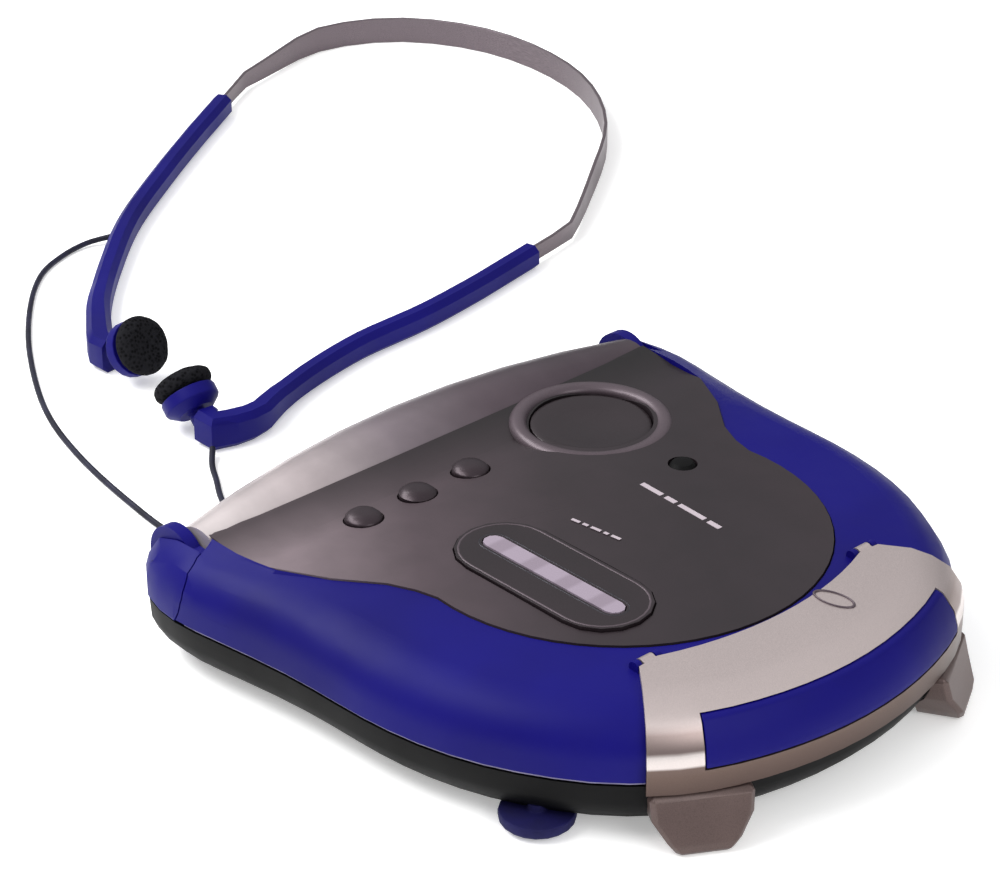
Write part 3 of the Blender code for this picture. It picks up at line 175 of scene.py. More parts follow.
finishes = {
    "blue": {"face": "0d0867", "deep": "0b0659", "roughness": 0.5},
    "black": {"face": "050506", "deep": "030303", "roughness": 0.55},
    "gunmetal": {"face": "3a2f35", "deep": "2b2126", "roughness": 0.36},
    "champagne": {"face": "d0c3c0", "deep": "a3969a", "roughness": 0.36},
    "bronze": {"face": "64534f", "deep": "4a3b39", "roughness": 0.42},
    "band": {"face": "6f656a", "deep": "5b5157", "roughness": 0.4},
}


def objectPoints(tree, scale=(1, 1, 1)):
    texture = addNode(tree, "ShaderNodeTexCoord")
    mapping = addNode(tree, "ShaderNodeMapping", {"Scale": scale}, {"Vector": texture.outputs["Object"]})
    return mapping.outputs["Vector"]


def perMetre(sizeMm):
    return 1000.0 / sizeMm


def mouldedPlastic(name, face, deep, roughness, grainMm=0.35, grainDepth=0.12, coat=0.0):
    # injection-moulded ABS: spark-eroded grain breaks up the highlight, with faint flow marks in its tone
    surface, tree, shader = newSurface(name, IOR=1.5, Specular_IOR_Level=0.12, Coat_Weight=coat,
                                       Coat_Roughness=0.25)
    points = objectPoints(tree)
    flow = addNode(tree, "ShaderNodeTexNoise", {"Scale": perMetre(45), "Detail": 3.0}, {"Vector": points})
    grain = addNode(tree, "ShaderNodeTexNoise", {"Scale": perMetre(grainMm), "Detail": 2.0},
                    {"Vector": points})
    smears = addNode(tree, "ShaderNodeTexNoise", {"Scale": perMetre(18), "Detail": 5.0}, {"Vector": points})
    tone = addNode(tree, "ShaderNodeValToRGB", links={"Fac": flow.outputs["Fac"]},
                   stops=((0.35, deep), (0.65, face)))
    tree.links.new(tone.outputs["Color"], shader.inputs["Base Color"])
    gloss = addNode(tree, "ShaderNodeMapRange",
                    {"From Min": 0.3, "From Max": 0.7, "To Min": roughness - 0.05,
                     "To Max": roughness + 0.07}, {"Value": smears.outputs["Fac"]})
    tree.links.new(gloss.outputs["Result"], shader.inputs["Roughness"])
    bump = addNode(tree, "ShaderNodeBump", {"Strength": grainDepth, "Distance": 0.05 * mm},
                   {"Height": grain.outputs["Fac"]})
    tree.links.new(bump.outputs["Normal"], shader.inputs["Normal"])
    return surface


def flakePaint(name, face, deep, roughness, metallic=0.6, flakeMm=0.22, flakeTilt=0.08, coat=0.08):
    # sprayed metallic lacquer: aluminium flakes that glint one by one under a thin clear coat
    surface, tree, shader = newSurface(name, Metallic=metallic, Coat_Weight=coat, Coat_Roughness=0.12)
    points = objectPoints(tree)
    flakes = addNode(tree, "ShaderNodeTexVoronoi", {"Scale": perMetre(flakeMm)}, {"Vector": points})
    cloud = addNode(tree, "ShaderNodeTexNoise", {"Scale": perMetre(30), "Detail": 3.0}, {"Vector": points})
    tones = addNode(tree, "ShaderNodeValToRGB", links={"Fac": flakes.outputs["Distance"]},
                    stops=((0.1, face), (0.9, deep))).outputs["Color"]
    drift = addNode(tree, "ShaderNodeValToRGB", links={"Fac": cloud.outputs["Fac"]},
                    stops=((0.35, deep), (0.65, face))).outputs["Color"]
    mix = addNode(tree, "ShaderNodeMix", {"Factor": 0.5}, data_type="RGBA")
    tree.links.new(tones, mix.inputs["A"])
    tree.links.new(drift, mix.inputs["B"])
    tree.links.new(mix.outputs["Result"], shader.inputs["Base Color"])
    gloss = addNode(tree, "ShaderNodeMapRange",
                    {"From Min": 0.3, "From Max": 0.7, "To Min": roughness - 0.04,
                     "To Max": roughness + 0.06}, {"Value": cloud.outputs["Fac"]})
    tree.links.new(gloss.outputs["Result"], shader.inputs["Roughness"])
    bump = addNode(tree, "ShaderNodeBump", {"Strength": flakeTilt, "Distance": 0.04 * mm},
                   {"Height": flakes.outputs["Distance"]})
    tree.links.new(bump.outputs["Normal"], shader.inputs["Normal"])
    return surface


def paintedLightLacquer(name, tones, way, fromMm, toMm, roughness, metallic=0.6):
    # the same lacquer with painted light along one direction: a painted highlight at one end, so that end seems
    # to catch the light, and painted shade towards the other
    surface = flakePaint(name, tones[0], tones[0], roughness, metallic)
    tree = surface.node_tree
    shader = tree.nodes["Principled BSDF"]
    texture = addNode(tree, "ShaderNodeTexCoord")
    along = addNode(tree, "ShaderNodeVectorMath", {1: way}, {0: texture.outputs["Object"]},
                    operation="DOT_PRODUCT")
    share = addNode(tree, "ShaderNodeMapRange",
                    {"From Min": fromMm * mm, "From Max": toMm * mm, "To Min": 0.0,
                     "To Max": 1.0}, {"Value": along.outputs["Value"]}).outputs["Result"]
    stops = [(k / (len(tones) - 1), tone) for k, tone in enumerate(tones)]
    ramp = addNode(tree, "ShaderNodeValToRGB", links={"Fac": share}, stops=stops)
    cloud = addNode(tree, "ShaderNodeTexNoise", {"Scale": perMetre(9), "Detail": 4.0},
                    {"Vector": objectPoints(tree)})
    shade = addNode(tree, "ShaderNodeValToRGB", links={"Fac": cloud.outputs["Fac"]},
                    stops=((0.35, "f0f0f0"), (0.65, "ffffff"))).outputs["Color"]
    mix = addNode(tree, "ShaderNodeMix", {"Factor": 1.0}, data_type="RGBA", blend_type="MULTIPLY")
    tree.links.new(ramp.outputs["Color"], mix.inputs["A"])
    tree.links.new(shade, mix.inputs["B"])
    tree.links.new(mix.outputs["Result"], shader.inputs["Base Color"])
    return surface


def darkenValley(surface):
    # less light reaches the foot of the barrel, so the lacquer there reads almost black
    tree = surface.node_tree
    shader = tree.nodes["Principled BSDF"]
    texture = addNode(tree, "ShaderNodeTexCoord")
    split = addNode(tree, "ShaderNodeSeparateXYZ", links={"Vector": texture.outputs["Object"]})
    share = addNode(tree, "ShaderNodeMapRange",
                    {"From Min": -57 * mm, "From Max": -39 * mm, "To Min": 0.0,
                     "To Max": 1.0}, {"Value": split.outputs["X"]}).outputs["Result"]
    shade = addNode(tree, "ShaderNodeValToRGB", links={"Fac": share},
                    stops=((0.1, "8f8a8d"), (0.9, "ffffff"))).outputs["Color"]
    mix = addNode(tree, "ShaderNodeMix", {"Factor": 1.0}, data_type="RGBA", blend_type="MULTIPLY")
    tree.links.new(shader.inputs["Base Color"].links[0].from_socket, mix.inputs["A"])
    tree.links.new(shade, mix.inputs["B"])
    tree.links.new(mix.outputs["Result"], shader.inputs["Base Color"])


def brushedMetal(name, face, deep, roughness, along, metallic=0.8, lineMm=0.12):
    # brushed and lacquered sheet: fine parallel scratches that draw the highlight out across them
    surface, tree, shader = newSurface(name, Metallic=metallic, Anisotropic=0.3)
    stretch = [40.0 if axis == along else 1.0 for axis in "XYZ"]
    points = objectPoints(tree, tuple(1.0 / s for s in stretch))
    lines = addNode(tree, "ShaderNodeTexNoise", {"Scale": perMetre(lineMm), "Detail": 3.0},
                    {"Vector": points})
    cloud = addNode(tree, "ShaderNodeTexNoise", {"Scale": perMetre(25), "Detail": 3.0},
                    {"Vector": objectPoints(tree)})
    tone = addNode(tree, "ShaderNodeValToRGB", links={"Fac": lines.outputs["Fac"]},
                   stops=((0.35, deep), (0.65, face)))
    tree.links.new(tone.outputs["Color"], shader.inputs["Base Color"])
    gloss = addNode(tree, "ShaderNodeMapRange",
                    {"From Min": 0.3, "From Max": 0.7, "To Min": roughness - 0.05,
                     "To Max": roughness + 0.08}, {"Value": cloud.outputs["Fac"]})
    tree.links.new(gloss.outputs["Result"], shader.inputs["Roughness"])
    bump = addNode(tree, "ShaderNodeBump", {"Strength": 0.04, "Distance": 0.01 * mm},
                   {"Height": lines.outputs["Fac"]})
    tree.links.new(bump.outputs["Normal"], shader.inputs["Normal"])
    return surface


def rubberSkin(name, face, deep, roughness=0.75):
    # moulded rubber: dull, with a dusting of paler bloom
    surface, tree, shader = newSurface(name, IOR=1.5, Specular_IOR_Level=0.25)
    points = objectPoints(tree)
    bloom = addNode(tree, "ShaderNodeTexNoise", {"Scale": perMetre(6), "Detail": 4.0}, {"Vector": points})
    grain = addNode(tree, "ShaderNodeTexNoise", {"Scale": perMetre(0.4), "Detail": 2.0}, {"Vector": points})
    tone = addNode(tree, "ShaderNodeValToRGB", links={"Fac": bloom.outputs["Fac"]},
                   stops=((0.35, face), (0.65, deep)))
    tree.links.new(tone.outputs["Color"], shader.inputs["Base Color"])
    gloss = addNode(tree, "ShaderNodeMapRange",
                    {"From Min": 0.3, "From Max": 0.7, "To Min": roughness - 0.08,
                     "To Max": roughness + 0.08}, {"Value": bloom.outputs["Fac"]})
    tree.links.new(gloss.outputs["Result"], shader.inputs["Roughness"])
    bump = addNode(tree, "ShaderNodeBump", {"Strength": 0.2, "Distance": 0.05 * mm},
                   {"Height": grain.outputs["Fac"]})
    tree.links.new(bump.outputs["Normal"], shader.inputs["Normal"])
    return surface


def openCellFoam():
    # reticulated urethane foam: a mesh of tiny pits that swallow the light
    surface, tree, shader = newSurface("openCellFoam", IOR=1.45, Specular_IOR_Level=0.05)
    points = objectPoints(tree)
    pits = addNode(tree, "ShaderNodeTexVoronoi", {"Scale": perMetre(0.9)}, {"Vector": points})
    fuzz = addNode(tree, "ShaderNodeTexNoise", {"Scale": perMetre(0.35), "Detail": 3.0}, {"Vector": points})
    tone = addNode(tree, "ShaderNodeValToRGB", links={"Fac": pits.outputs["Distance"]},
                   stops=((0.1, "050506"), (0.6, "1e1e21")))
    tree.links.new(tone.outputs["Color"], shader.inputs["Base Color"])
    gloss = addNode(tree, "ShaderNodeMapRange", {"To Min": 0.88, "To Max": 1.0},
                    {"Value": fuzz.outputs["Fac"]})
    tree.links.new(gloss.outputs["Result"], shader.inputs["Roughness"])
    bump = addNode(tree, "ShaderNodeBump", {"Strength": 0.9, "Distance": 0.3 * mm},
                   {"Height": pits.outputs["Distance"]})
    tree.links.new(bump.outputs["Normal"], shader.inputs["Normal"])
    return surface


def solderMask():
    # glass-fibre board: green mask over copper tracks
    surface, tree, shader = newSurface("solderMask", IOR=1.5, Roughness=0.35)
    points = objectPoints(tree)
    tracks = addNode(tree, "ShaderNodeTexBrick", {"Scale": perMetre(3), "Mortar Size": 0.06,
                                                  "Color1": linearFrom("1d6a3c"), "Color2": linearFrom("185a33"),
                                                  "Mortar": linearFrom("2f8f55")}, {"Vector": points})
    tree.links.new(tracks.outputs["Color"], shader.inputs["Base Color"])
    bump = addNode(tree, "ShaderNodeBump", {"Strength": 0.3, "Distance": 0.05 * mm},
                   {"Height": tracks.outputs["Fac"]})
    tree.links.new(bump.outputs["Normal"], shader.inputs["Normal"])
    return surface


def displayCell():
    # reflective liquid crystal behind a clear window: a silver field with faint segment rows
    surface, tree, shader = newSurface("reflectiveDisplay", IOR=1.5, Roughness=0.3, Specular_IOR_Level=0.3,
                                       Coat_Weight=0.3, Coat_Roughness=0.06)
    points = objectPoints(tree)
    rows = addNode(tree, "ShaderNodeTexWave", {"Scale": perMetre(1.6) / 20, "Distortion": 0.0},
                   {"Vector": points},
                   bands_direction="X")
    tone = addNode(tree, "ShaderNodeValToRGB", links={"Fac": rows.outputs["Fac"]},
                   stops=((0.2, "857885"), (0.5, "958896")))
    tree.links.new(tone.outputs["Color"], shader.inputs["Base Color"])
    return surface


def claspMetal():
    # anodised pressing: champagne over the top, painted shade in a darker band where the legs are recessed, a
    # paler band at the step, and dark bronze down by the casing's foot
    surface, tree, shader = newSurface("anodisedClasp", Metallic=0.75, Anisotropic=0.2)
    texture = addNode(tree, "ShaderNodeTexCoord")
    split = addNode(tree, "ShaderNodeSeparateXYZ", links={"Vector": texture.outputs["Object"]})
    share = addNode(tree, "ShaderNodeMapRange",
                    {"From Min": 9 * mm, "From Max": 29 * mm, "To Min": 0.0,
                     "To Max": 1.0}, {"Value": split.outputs["Z"]}).outputs["Result"]
    bronze = ((0.0, "54443f"), (0.2, "64534c"), (0.29, "6c5b55"))
    # the tone from 0.47 to 0.62 is painted shade, darker where the legs are recessed
    step = ((0.32, "d9cfcc"), (0.43, "ded5d2"), (0.47, "8a7a77"))
    pale = ((0.62, "9a8a86"), (0.72, finishes["champagne"]["face"]), (1.0, "c6b9b7"))
    ramp = addNode(tree, "ShaderNodeValToRGB", links={"Fac": share}, stops=bronze + step + pale)
    lines = addNode(tree, "ShaderNodeTexNoise", {"Scale": perMetre(0.15), "Detail": 2.0},
                    {"Vector": objectPoints(tree, (1.0, 1.0, 6.0))})
    shade = addNode(tree, "ShaderNodeValToRGB", links={"Fac": lines.outputs["Fac"]},
                    stops=((0.35, "e2e2e2"), (0.65, "ffffff"))).outputs["Color"]
    mix = addNode(tree, "ShaderNodeMix", {"Factor": 1.0}, data_type="RGBA", blend_type="MULTIPLY")
    tree.links.new(ramp.outputs["Color"], mix.inputs["A"])
    tree.links.new(shade, mix.inputs["B"])
    tree.links.new(mix.outputs["Result"], shader.inputs["Base Color"])
    cloud = addNode(tree, "ShaderNodeTexNoise", {"Scale": perMetre(20), "Detail": 3.0},
                    {"Vector": objectPoints(tree)})
    gloss = addNode(tree, "ShaderNodeMapRange",
                    {"From Min": 0.3, "From Max": 0.7, "To Min": 0.3,
                     "To Max": 0.42}, {"Value": cloud.outputs["Fac"]})
    tree.links.new(gloss.outputs["Result"], shader.inputs["Roughness"])
    return surface


def coatedLens():
    # moulded objective lens: clear with a violet anti-reflection coat
    surface, tree, shader = newSurface("coatedObjective", IOR=1.5, Roughness=0.03, Coat_Weight=1.0,
                                       Coat_Roughness=0.02)
    layer = addNode(tree, "ShaderNodeLayerWeight", {"Blend": 0.4})
    tone = addNode(tree, "ShaderNodeValToRGB", links={"Fac": layer.outputs["Facing"]},
                   stops=((0.1, "241a4d"), (0.9, "6a7fc8")))
    tree.links.new(tone.outputs["Color"], shader.inputs["Base Color"])
    return surface


def shrinkSleeve():
    # printed shrink sleeve on a rechargeable cell
    surface, tree, shader = newSurface("shrinkSleeve", IOR=1.5, Roughness=0.3, Coat_Weight=0.5,
                                       Coat_Roughness=0.1)
    points = objectPoints(tree)
    bands = addNode(tree, "ShaderNodeTexWave", {"Scale": 6.0, "Distortion": 0.4}, {"Vector": points},
                    bands_direction="Y")
    tone = addNode(tree, "ShaderNodeValToRGB", links={"Fac": bands.outputs["Fac"]},
                   stops=((0.35, "7d8a99"), (0.65, "a7b3c0")))
    tree.links.new(tone.outputs["Color"], shader.inputs["Base Color"])
    return surface


looks = {
    "blue_abs": mouldedPlastic("mouldedBlueAbs", **finishes["blue"]),
    "black_abs": mouldedPlastic("mouldedBlackAbs", **finishes["black"]),
    "gunmetal_paint": flakePaint("gunmetalLacquer", **finishes["gunmetal"]),
    "champagne_paint": claspMetal(),
    "dark_silver_paint": flakePaint("bronzeLacquer", **finishes["bronze"], metallic=0.45),
    "rubber": rubberSkin("footRubber", "14124a", "100e3c"),
    "seal_rubber": rubberSkin("sealRubber", "9a93a6", "847c90", 0.6),
    "steel": brushedMetal("coldRolledSteel", "a9a9ad", "8c8c92", 0.32, along="X", metallic=1.0),
    "circuit_board": solderMask(),
    "lens_glass": coatedLens(),
    "display_window": displayCell(),
    "ear_foam": openCellFoam(),
    "band_paint": brushedMetal("lacqueredSpringSteel", **finishes["band"], along="X", metallic=0.6),
    "cell_sleeve": shrinkSleeve(),
    "cord_jacket": rubberSkin("softPvcJacket", "1a1a30", "12121f", 0.55),
    "plated_contact": brushedMetal("goldFlashedBrass", "cdb469", "a98f4a", 0.25, along="X", metallic=1.0),
}
# painted light: the barrel and the panel are painted paler towards their near end and darker towards the far end
looks["barrel"] = paintedLightLacquer("barrelLacquerPaintedLight", ("e0d6d5", "c3b7b8", "857a80", "5d5158", "4b4047"),
                             (0, 1, 0), -64, 44, 0.34)
looks["panel"] = paintedLightLacquer("panelLacquerPaintedLight", ("7f7176", "4a3d43", "2c2227", "241b20", "2b2126"),
                            (0.6, 0.8, 0), -74, 50, 0.5, 0.3)
darkenValley(looks["panel"])
looks["pad"] = flakePaint("darkPadLacquer", "2c2227", "1f171b", 0.4, 0.4)
looks["ring"] = flakePaint("paleRimLacquer", "5c5057", "4a3f45", 0.42, 0.4)
looks["print"] = mouldedPlastic("silverPrint", "b9aeb4", "a99ea5", 0.5)
looks["glint"] = brushedMetal("blackenedScrew", "55545a", "3b3a40", 0.3, along="X", metallic=1.0)
looks["label"] = mouldedPlastic("paperLabel", "a7a3a8", "9b979c", 0.6, grainDepth=0.04)
looks["parting"] = rubberSkin("partingSeal", "8f8aa6", "7d7896", 0.6)
print("materials mixed")

# helpers for pieces


def only(piece):
    bpy.ops.object.select_all(action="DESELECT")
    piece.select_set(True)
    bpy.context.view_layer.objects.active = piece


def useModifier(piece, kind, **settings):
    modifier = piece.modifiers.new(kind.title(), kind)
    for name, value in settings.items():
        setattr(modifier, name, value)
    only(piece)
    bpy.ops.object.modifier_apply(modifier=modifier.name)


def settle(piece, body, look):
    piece.data.materials.clear()
    piece.data.materials.append(look)
    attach(piece, body)
    return piece


def dressed(name, look=None, edge=0.0, smoothAngle=32, mergeMm=0.002):
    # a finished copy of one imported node, with its facets smoothed and its edges eased
    piece = bpy.data.objects.new(name + "_finished", nodes[name].data.copy())
    bpy.context.scene.collection.objects.link(piece)
    only(piece)
    bpy.ops.object.mode_set(mode="EDIT")
    bpy.ops.mesh.select_all(action="SELECT")
    bpy.ops.mesh.remove_doubles(threshold=mergeMm * mm)
    bpy.ops.mesh.dissolve_limited(angle_limit=radians(0.6))
    bpy.ops.object.mode_set(mode="OBJECT")
    if piece.data.has_custom_normals:
        bpy.ops.mesh.customdata_custom_splitnormals_clear()
    if edge:
        useModifier(piece, "BEVEL", width=edge * mm, segments=2, limit_method="ANGLE",
                    angle_limit=radians(40),
                    use_clamp_overlap=True)
    only(piece)
    bpy.ops.object.shade_smooth_by_angle(angle=radians(smoothAngle))
    useModifier(piece, "WEIGHTED_NORMAL", keep_sharp=True)
    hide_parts(name)
    return settle(piece, bodyOf[name], look or looks[slotOf[name]])


def shaped(kind, name, turn=None, **place):
    # a starting shape, with its place and turn put into its mesh
    bpy.ops.object.select_all(action="DESELECT")
    getattr(bpy.ops.mesh, "primitive_" + kind + "_add")(**place)
    piece = bpy.context.object
    piece.name = name
    if turn is not None:
        piece.rotation_mode = "QUATERNION"
        piece.rotation_quaternion = turn
    bpy.ops.object.transform_apply(location=True, rotation=True, scale=True)
    return piece


def pickFaces(piece, chosen):
    # leaves edit mode on, with just the faces that pass the test selected
    only(piece)
    bpy.ops.object.mode_set(mode="EDIT")
    bpy.ops.mesh.select_mode(type="FACE")
    bpy.ops.mesh.select_all(action="DESELECT")
    bpy.ops.object.mode_set(mode="OBJECT")
    for face in piece.data.polygons:
        face.select = chosen(face.center / mm, face.normal)
    bpy.ops.object.mode_set(mode="EDIT")


def smoothed(piece, angle=35):
    bpy.ops.object.mode_set(mode="OBJECT")
    only(piece)
    bpy.ops.object.shade_smooth_by_angle(angle=radians(angle))
    return piece


def joined(name, pieces):
    bpy.ops.object.mode_set(mode="OBJECT")
    bpy.ops.object.select_all(action="DESELECT")
    for piece in pieces:
        piece.select_set(True)
    bpy.context.view_layer.objects.active = pieces[0]
    bpy.ops.object.join()
    pieces[0].name = name
    return pieces[0]


def middleOf(name):
    spots = [corner.co for corner in nodes[name].data.vertices]
    low = Vector([min(spot[k] for spot in spots) for k in range(3)])
    high = Vector([max(spot[k] for spot in spots) for k in range(3)])
    return (low + high) / 2, low, high


def smoothPath(points, stepsEach):
    # a Catmull-Rom curve through the points
    ends = [points[0] * 2 - points[1]] + points + [points[-1] * 2 - points[-2]]
    made = []
    for a, b, c, d in zip(ends, ends[1:], ends[2:], ends[3:]):
        for k in range(stepsEach):
            t = k / stepsEach
            made.append(0.5 * (2 * b + (c - a) * t + (2 * a - 5 * b + 4 * c - d) * t ** 2
                               + (3 * b - 3 * c + d - a) * t ** 3))
    return made + [points[-1]]


def evenPath(points, gap):
    lengths = [0.0]
    for a, b in zip(points, points[1:]):
        lengths.append(lengths[-1] + (b - a).length)
    count = max(2, round(lengths[-1] / gap))
    made, i = [], 0
    for k in range(count + 1):
        goal = lengths[-1] * k / count
        while i < len(points) - 2 and lengths[i + 1] < goal:
            i += 1
        span = lengths[i + 1] - lengths[i]
        made.append(points[i].lerp(points[i + 1], (goal - lengths[i]) / span if span else 0.0))
    return made


def pathLength(points):
    return sum((b - a).length for a, b in zip(points, points[1:]))


def tubeAlong(name, points, radius, sides=3, capped=True):
    data = bpy.data.curves.new(name, "CURVE")
    data.dimensions = "3D"
    data.bevel_depth = radius
    data.bevel_resolution = sides
    data.use_fill_caps = capped
    line = data.splines.new("POLY")
    line.points.add(len(points) - 1)
    for spot, point in zip(line.points, points):
        spot.co = (*point, 1)
    made = bpy.data.objects.new(name, data)
    bpy.context.scene.collection.objects.link(made)
    only(made)
    bpy.ops.object.convert(target="MESH")
    made = bpy.context.object
    bpy.ops.object.mode_set(mode="EDIT")
    bpy.ops.mesh.select_all(action="SELECT")
    bpy.ops.mesh.remove_doubles(threshold=0.001 * mm)
    bpy.ops.object.mode_set(mode="OBJECT")
    bpy.ops.object.shade_smooth_by_angle(angle=radians(50))
    return made


# cords

cordFacts = {
    "leadDiameter": 1.5,
    "mainDiameter": 2.0,
    "coilCentre": (-91.0, 8.0),
    "coilInner": 8.9,   # radius of the innermost turn's middle
    "coilOuter": 14.1,
    "layers": (1.3, -0.8, -2.85),  # heights of the three layers, top first
    "turnsEach": 2.5,
    "dropTurn": 90,  # degrees over which the cord steps down a layer
    "entryTurn": 20,  # where the cord from the plug comes into the coil
    "entrySweep": 80,
    "entryHeight": 3.4,
    "lastTurnShort": 40,  # the lowest layer stops early, to leave toward the split
    "degreesEach": 10,
    "floorGap": 0.1,
}
leadHeight = room["floorTop"] + cordFacts["leadDiameter"] / 2 + cordFacts["floorGap"]
leftLeadRoute = [(-81.6, -15.8, leadHeight), (-82.3, -24, leadHeight), (-88, -34, leadHeight),
                 (-101, -40, leadHeight),
                 (-122, -38.5, leadHeight), (-149, -33.5, leadHeight), (-173, -25.5, leadHeight),
                 (-200, -10.5, leadHeight), (-221, 5, leadHeight), (-234, 18, leadHeight), (-239.6, 29,
                                                                                            leadHeight),
                 (-241, 38, -2.8), (-238.2, 44.5, -1.8)]
rightLeadRoute = [(-83.4, -15.8, leadHeight), (-86.5, -22, leadHeight), (-95.5, -25.6, leadHeight),
                  (-107, -22.5, leadHeight), (-116.5, -17, leadHeight), (-122.6, -13.4, -2.9), (-127.4,
                                                                                                -9.4, -1.8)]
splitRoute = [(-79.1, -0.4, -2.75), (-81.0, -3.6, -2.5), (-82.4, -6.9, -2.3)]
plugRoute = [(-76.1, 43.6, 13), (-76.2, 40, 12.6), (-77.2, 34, 10.2), (-79.6, 27, 6.4), (-82.2, 20.5, 4),
             (-83.2, 15.2, 3.5)]


def metres(route):
    return [Vector(point) * mm for point in route]


def coilPoint(turn, reach, height):
    cx, cy = cordFacts["coilCentre"]
    return Vector((cx + reach * cos(radians(turn)), cy + reach * sin(radians(turn)), height)) * mm


def coilTurns():
    # clockwise from above: down the inside, then each layer spirals the other way from the one above
    inner, outer = cordFacts["coilInner"], cordFacts["coilOuter"]
    layers = cordFacts["layers"]
    made = []
    turn, top = cordFacts["entryTurn"], cordFacts["entryHeight"]
    for k in range(8):
        share = k / 8
        made.append(coilPoint(turn - cordFacts["entrySweep"] * share, inner,
                              top + (layers[0] - top) * share))
    turn -= cordFacts["entrySweep"]
    for i, height in enumerate(layers):
        lowest = i == len(layers) - 1
        low, high = (inner, outer) if i % 2 == 0 else (outer, inner)
        sweep = cordFacts["turnsEach"] * 360 - (cordFacts["lastTurnShort"] if lowest else 0)
        count = int(sweep / cordFacts["degreesEach"])
        for k in range(count):
            share = k / count
            made.append(coilPoint(turn - sweep * share, low + (high - low) * share, height))
        turn -= sweep
        if lowest:
            break
        for k in range(9):
            share = k / 9
            fall = (layers[i + 1] - height) * (3 * share ** 2 - 2 * share ** 3)
            made.append(coilPoint(turn - cordFacts["dropTurn"] * share, high, height + fall))
        turn -= cordFacts["dropTurn"]
    return made + [coilPoint(turn, outer, layers[-1])]


def addLead(node, route):
    diameter = cordFacts["leadDiameter"] * mm
    path = evenPath(smoothPath(metres(route), 10), 1.2 * diameter)
    piece = tubeAlong(node + "_cord", path, diameter / 2)
    piece.data.materials.append(looks["cord_jacket"])
    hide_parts(node)
    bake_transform(piece)


def addMainCord():
    # from the plug down into the tied coil, and out of its lowest turn to the split
    diameter = cordFacts["mainDiameter"] * mm
    whole = smoothPath(metres(plugRoute) + coilTurns()[::2] + metres(splitRoute), 4)
    path = evenPath(whole, 1.1 * diameter)
    piece = tubeAlong("plugCordCoiled", path, diameter / 2)
    piece.data.materials.append(looks["cord_jacket"])
    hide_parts("plug_cord", "cord_coil")
    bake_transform(piece)
    print("main cord", round(pathLength(path), 3), "m")
    return piece, path


addLead("lead_left", leftLeadRoute)
addLead("lead_right", rightLeadRoute)
mainCord, mainPath = addMainCord()
print("cords laid")

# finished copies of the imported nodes

easedEdges = {  # mm
    "lid_shell": 0.35, "base_shell": 0.3, "lid_panel": 0.25, "barrel_cover": 0.3, "end_cap_near": 0.3,
    "end_cap_far": 0.3, "clasp_frame": 0.25, "clasp_insert": 0.3, "bumper_near": 0.6, "bumper_far": 0.6,
    "display_bezel": 0.3, "control_pad": 0.2, "battery_door": 0.2, "deck_plate": 0.15, "lid_liner": 0.15,
    "turntable": 0.15, "pickup_sled": 0.25, "drive_chassis": 0.15, "main_board": 0.1, "control_board": 0.1,
    "hold_switch": 0.25, "volume_wheel": 0.2, "dc_jack": 0.2, "headphone_jack": 0.2, "arm_left": 0.9,
    "arm_right": 0.9, "ear_housing_left": 0.3, "ear_housing_right": 0.3, "headband": 0.1, "cord_split": 0.2,
    "headphone_plug": 0.3, "foot_front_near": 0.6, "foot_front_far": 0.6, "foot_rear_near": 0.6,
    "foot_rear_far": 0.6, "button_1": 0.7, "button_2": 0.7, "button_3": 0.7, "mode_button": 0.4,
}
roundedArms = {"arm_left": 70, "arm_right": 70}  # degrees up to which faces shade as one
madeApart = {"lead_left", "lead_right", "plug_cord", "cord_coil", "ear_pad_left", "ear_pad_right"}
specialLooks = {"barrel_cover": "barrel", "lid_panel": "panel", "control_pad": "pad", "display_bezel": "pad",
                "lid_gasket": "parting"}
finished = {}
for name in sorted(nodes):
    if name in madeApart:
        continue
    finished[name] = dressed(name, looks[specialLooks.get(name, slotOf[name])], easedEdges.get(name, 0.0),
                             roundedArms.get(name, 32))
print(len(finished), "nodes finished")

# ear cushions

earCushion = {
    "across": 15.0,    # mm
    "thick": 5.4,
    "facing": {"left": (0.86, 0.1, 0.5), "right": (-0.76, 0.08, 0.64)},
    "dish": 0.9,       # how far the middle of the face sinks
    "dishReach": 0.62,  # share of the radius
    "lumps": 2.4,
    "lumpDepth": 0.35,
}


def addCushion(side):
    # a fat foam disc: rounded rim, sunken middle and a soft unevenness
    node = "ear_pad_" + side
    middle, low, high = middleOf(node)
    facing = Vector(earCushion["facing"][side]).normalized()
    turn = facing.to_track_quat("Z", "Y")
    piece = shaped("uv_sphere", node + "_cushion", segments=72, ring_count=40,
                   radius=earCushion["across"] / 2 * mm)
    for spot in piece.data.vertices:
        reach = hypot(spot.co.x, spot.co.y) / (earCushion["across"] / 2 * mm)
        facingOut = spot.co.z > 0
        depth = (1 - min(reach, 1.0) ** 3.2) ** 0.45 * earCushion["thick"] / 2 * mm
        sunk = earCushion["dish"] * mm * max(0.0, 1 - (reach / earCushion["dishReach"]) ** 2)
        spot.co.z = depth - sunk if facingOut else -depth
    swell = bpy.data.textures.new(node + "Lumps", "CLOUDS")
    swell.noise_scale = earCushion["lumps"] * mm
    useModifier(piece, "DISPLACE", texture=swell, strength=earCushion["lumpDepth"] * mm, mid_level=0.5,
                texture_coords="LOCAL")
    piece.rotation_mode = "QUATERNION"
    piece.rotation_quaternion = turn
    piece.location = middle
    only(piece)
    bpy.ops.object.transform_apply(location=True, rotation=True, scale=True)
    smoothed(piece, 80)
    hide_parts(node)
    settle(piece, bodyOf[node], looks["ear_foam"])
    return piece


for side in ("left", "right"):
    finished["ear_pad_" + side] = addCushion(side)
print("ear cushions made")

# panel trim

padCollar = {"centre": (-39.0, 30.5), "reach": 16.6, "section": 2.0, "height": 25.5, "squash": 0.8}


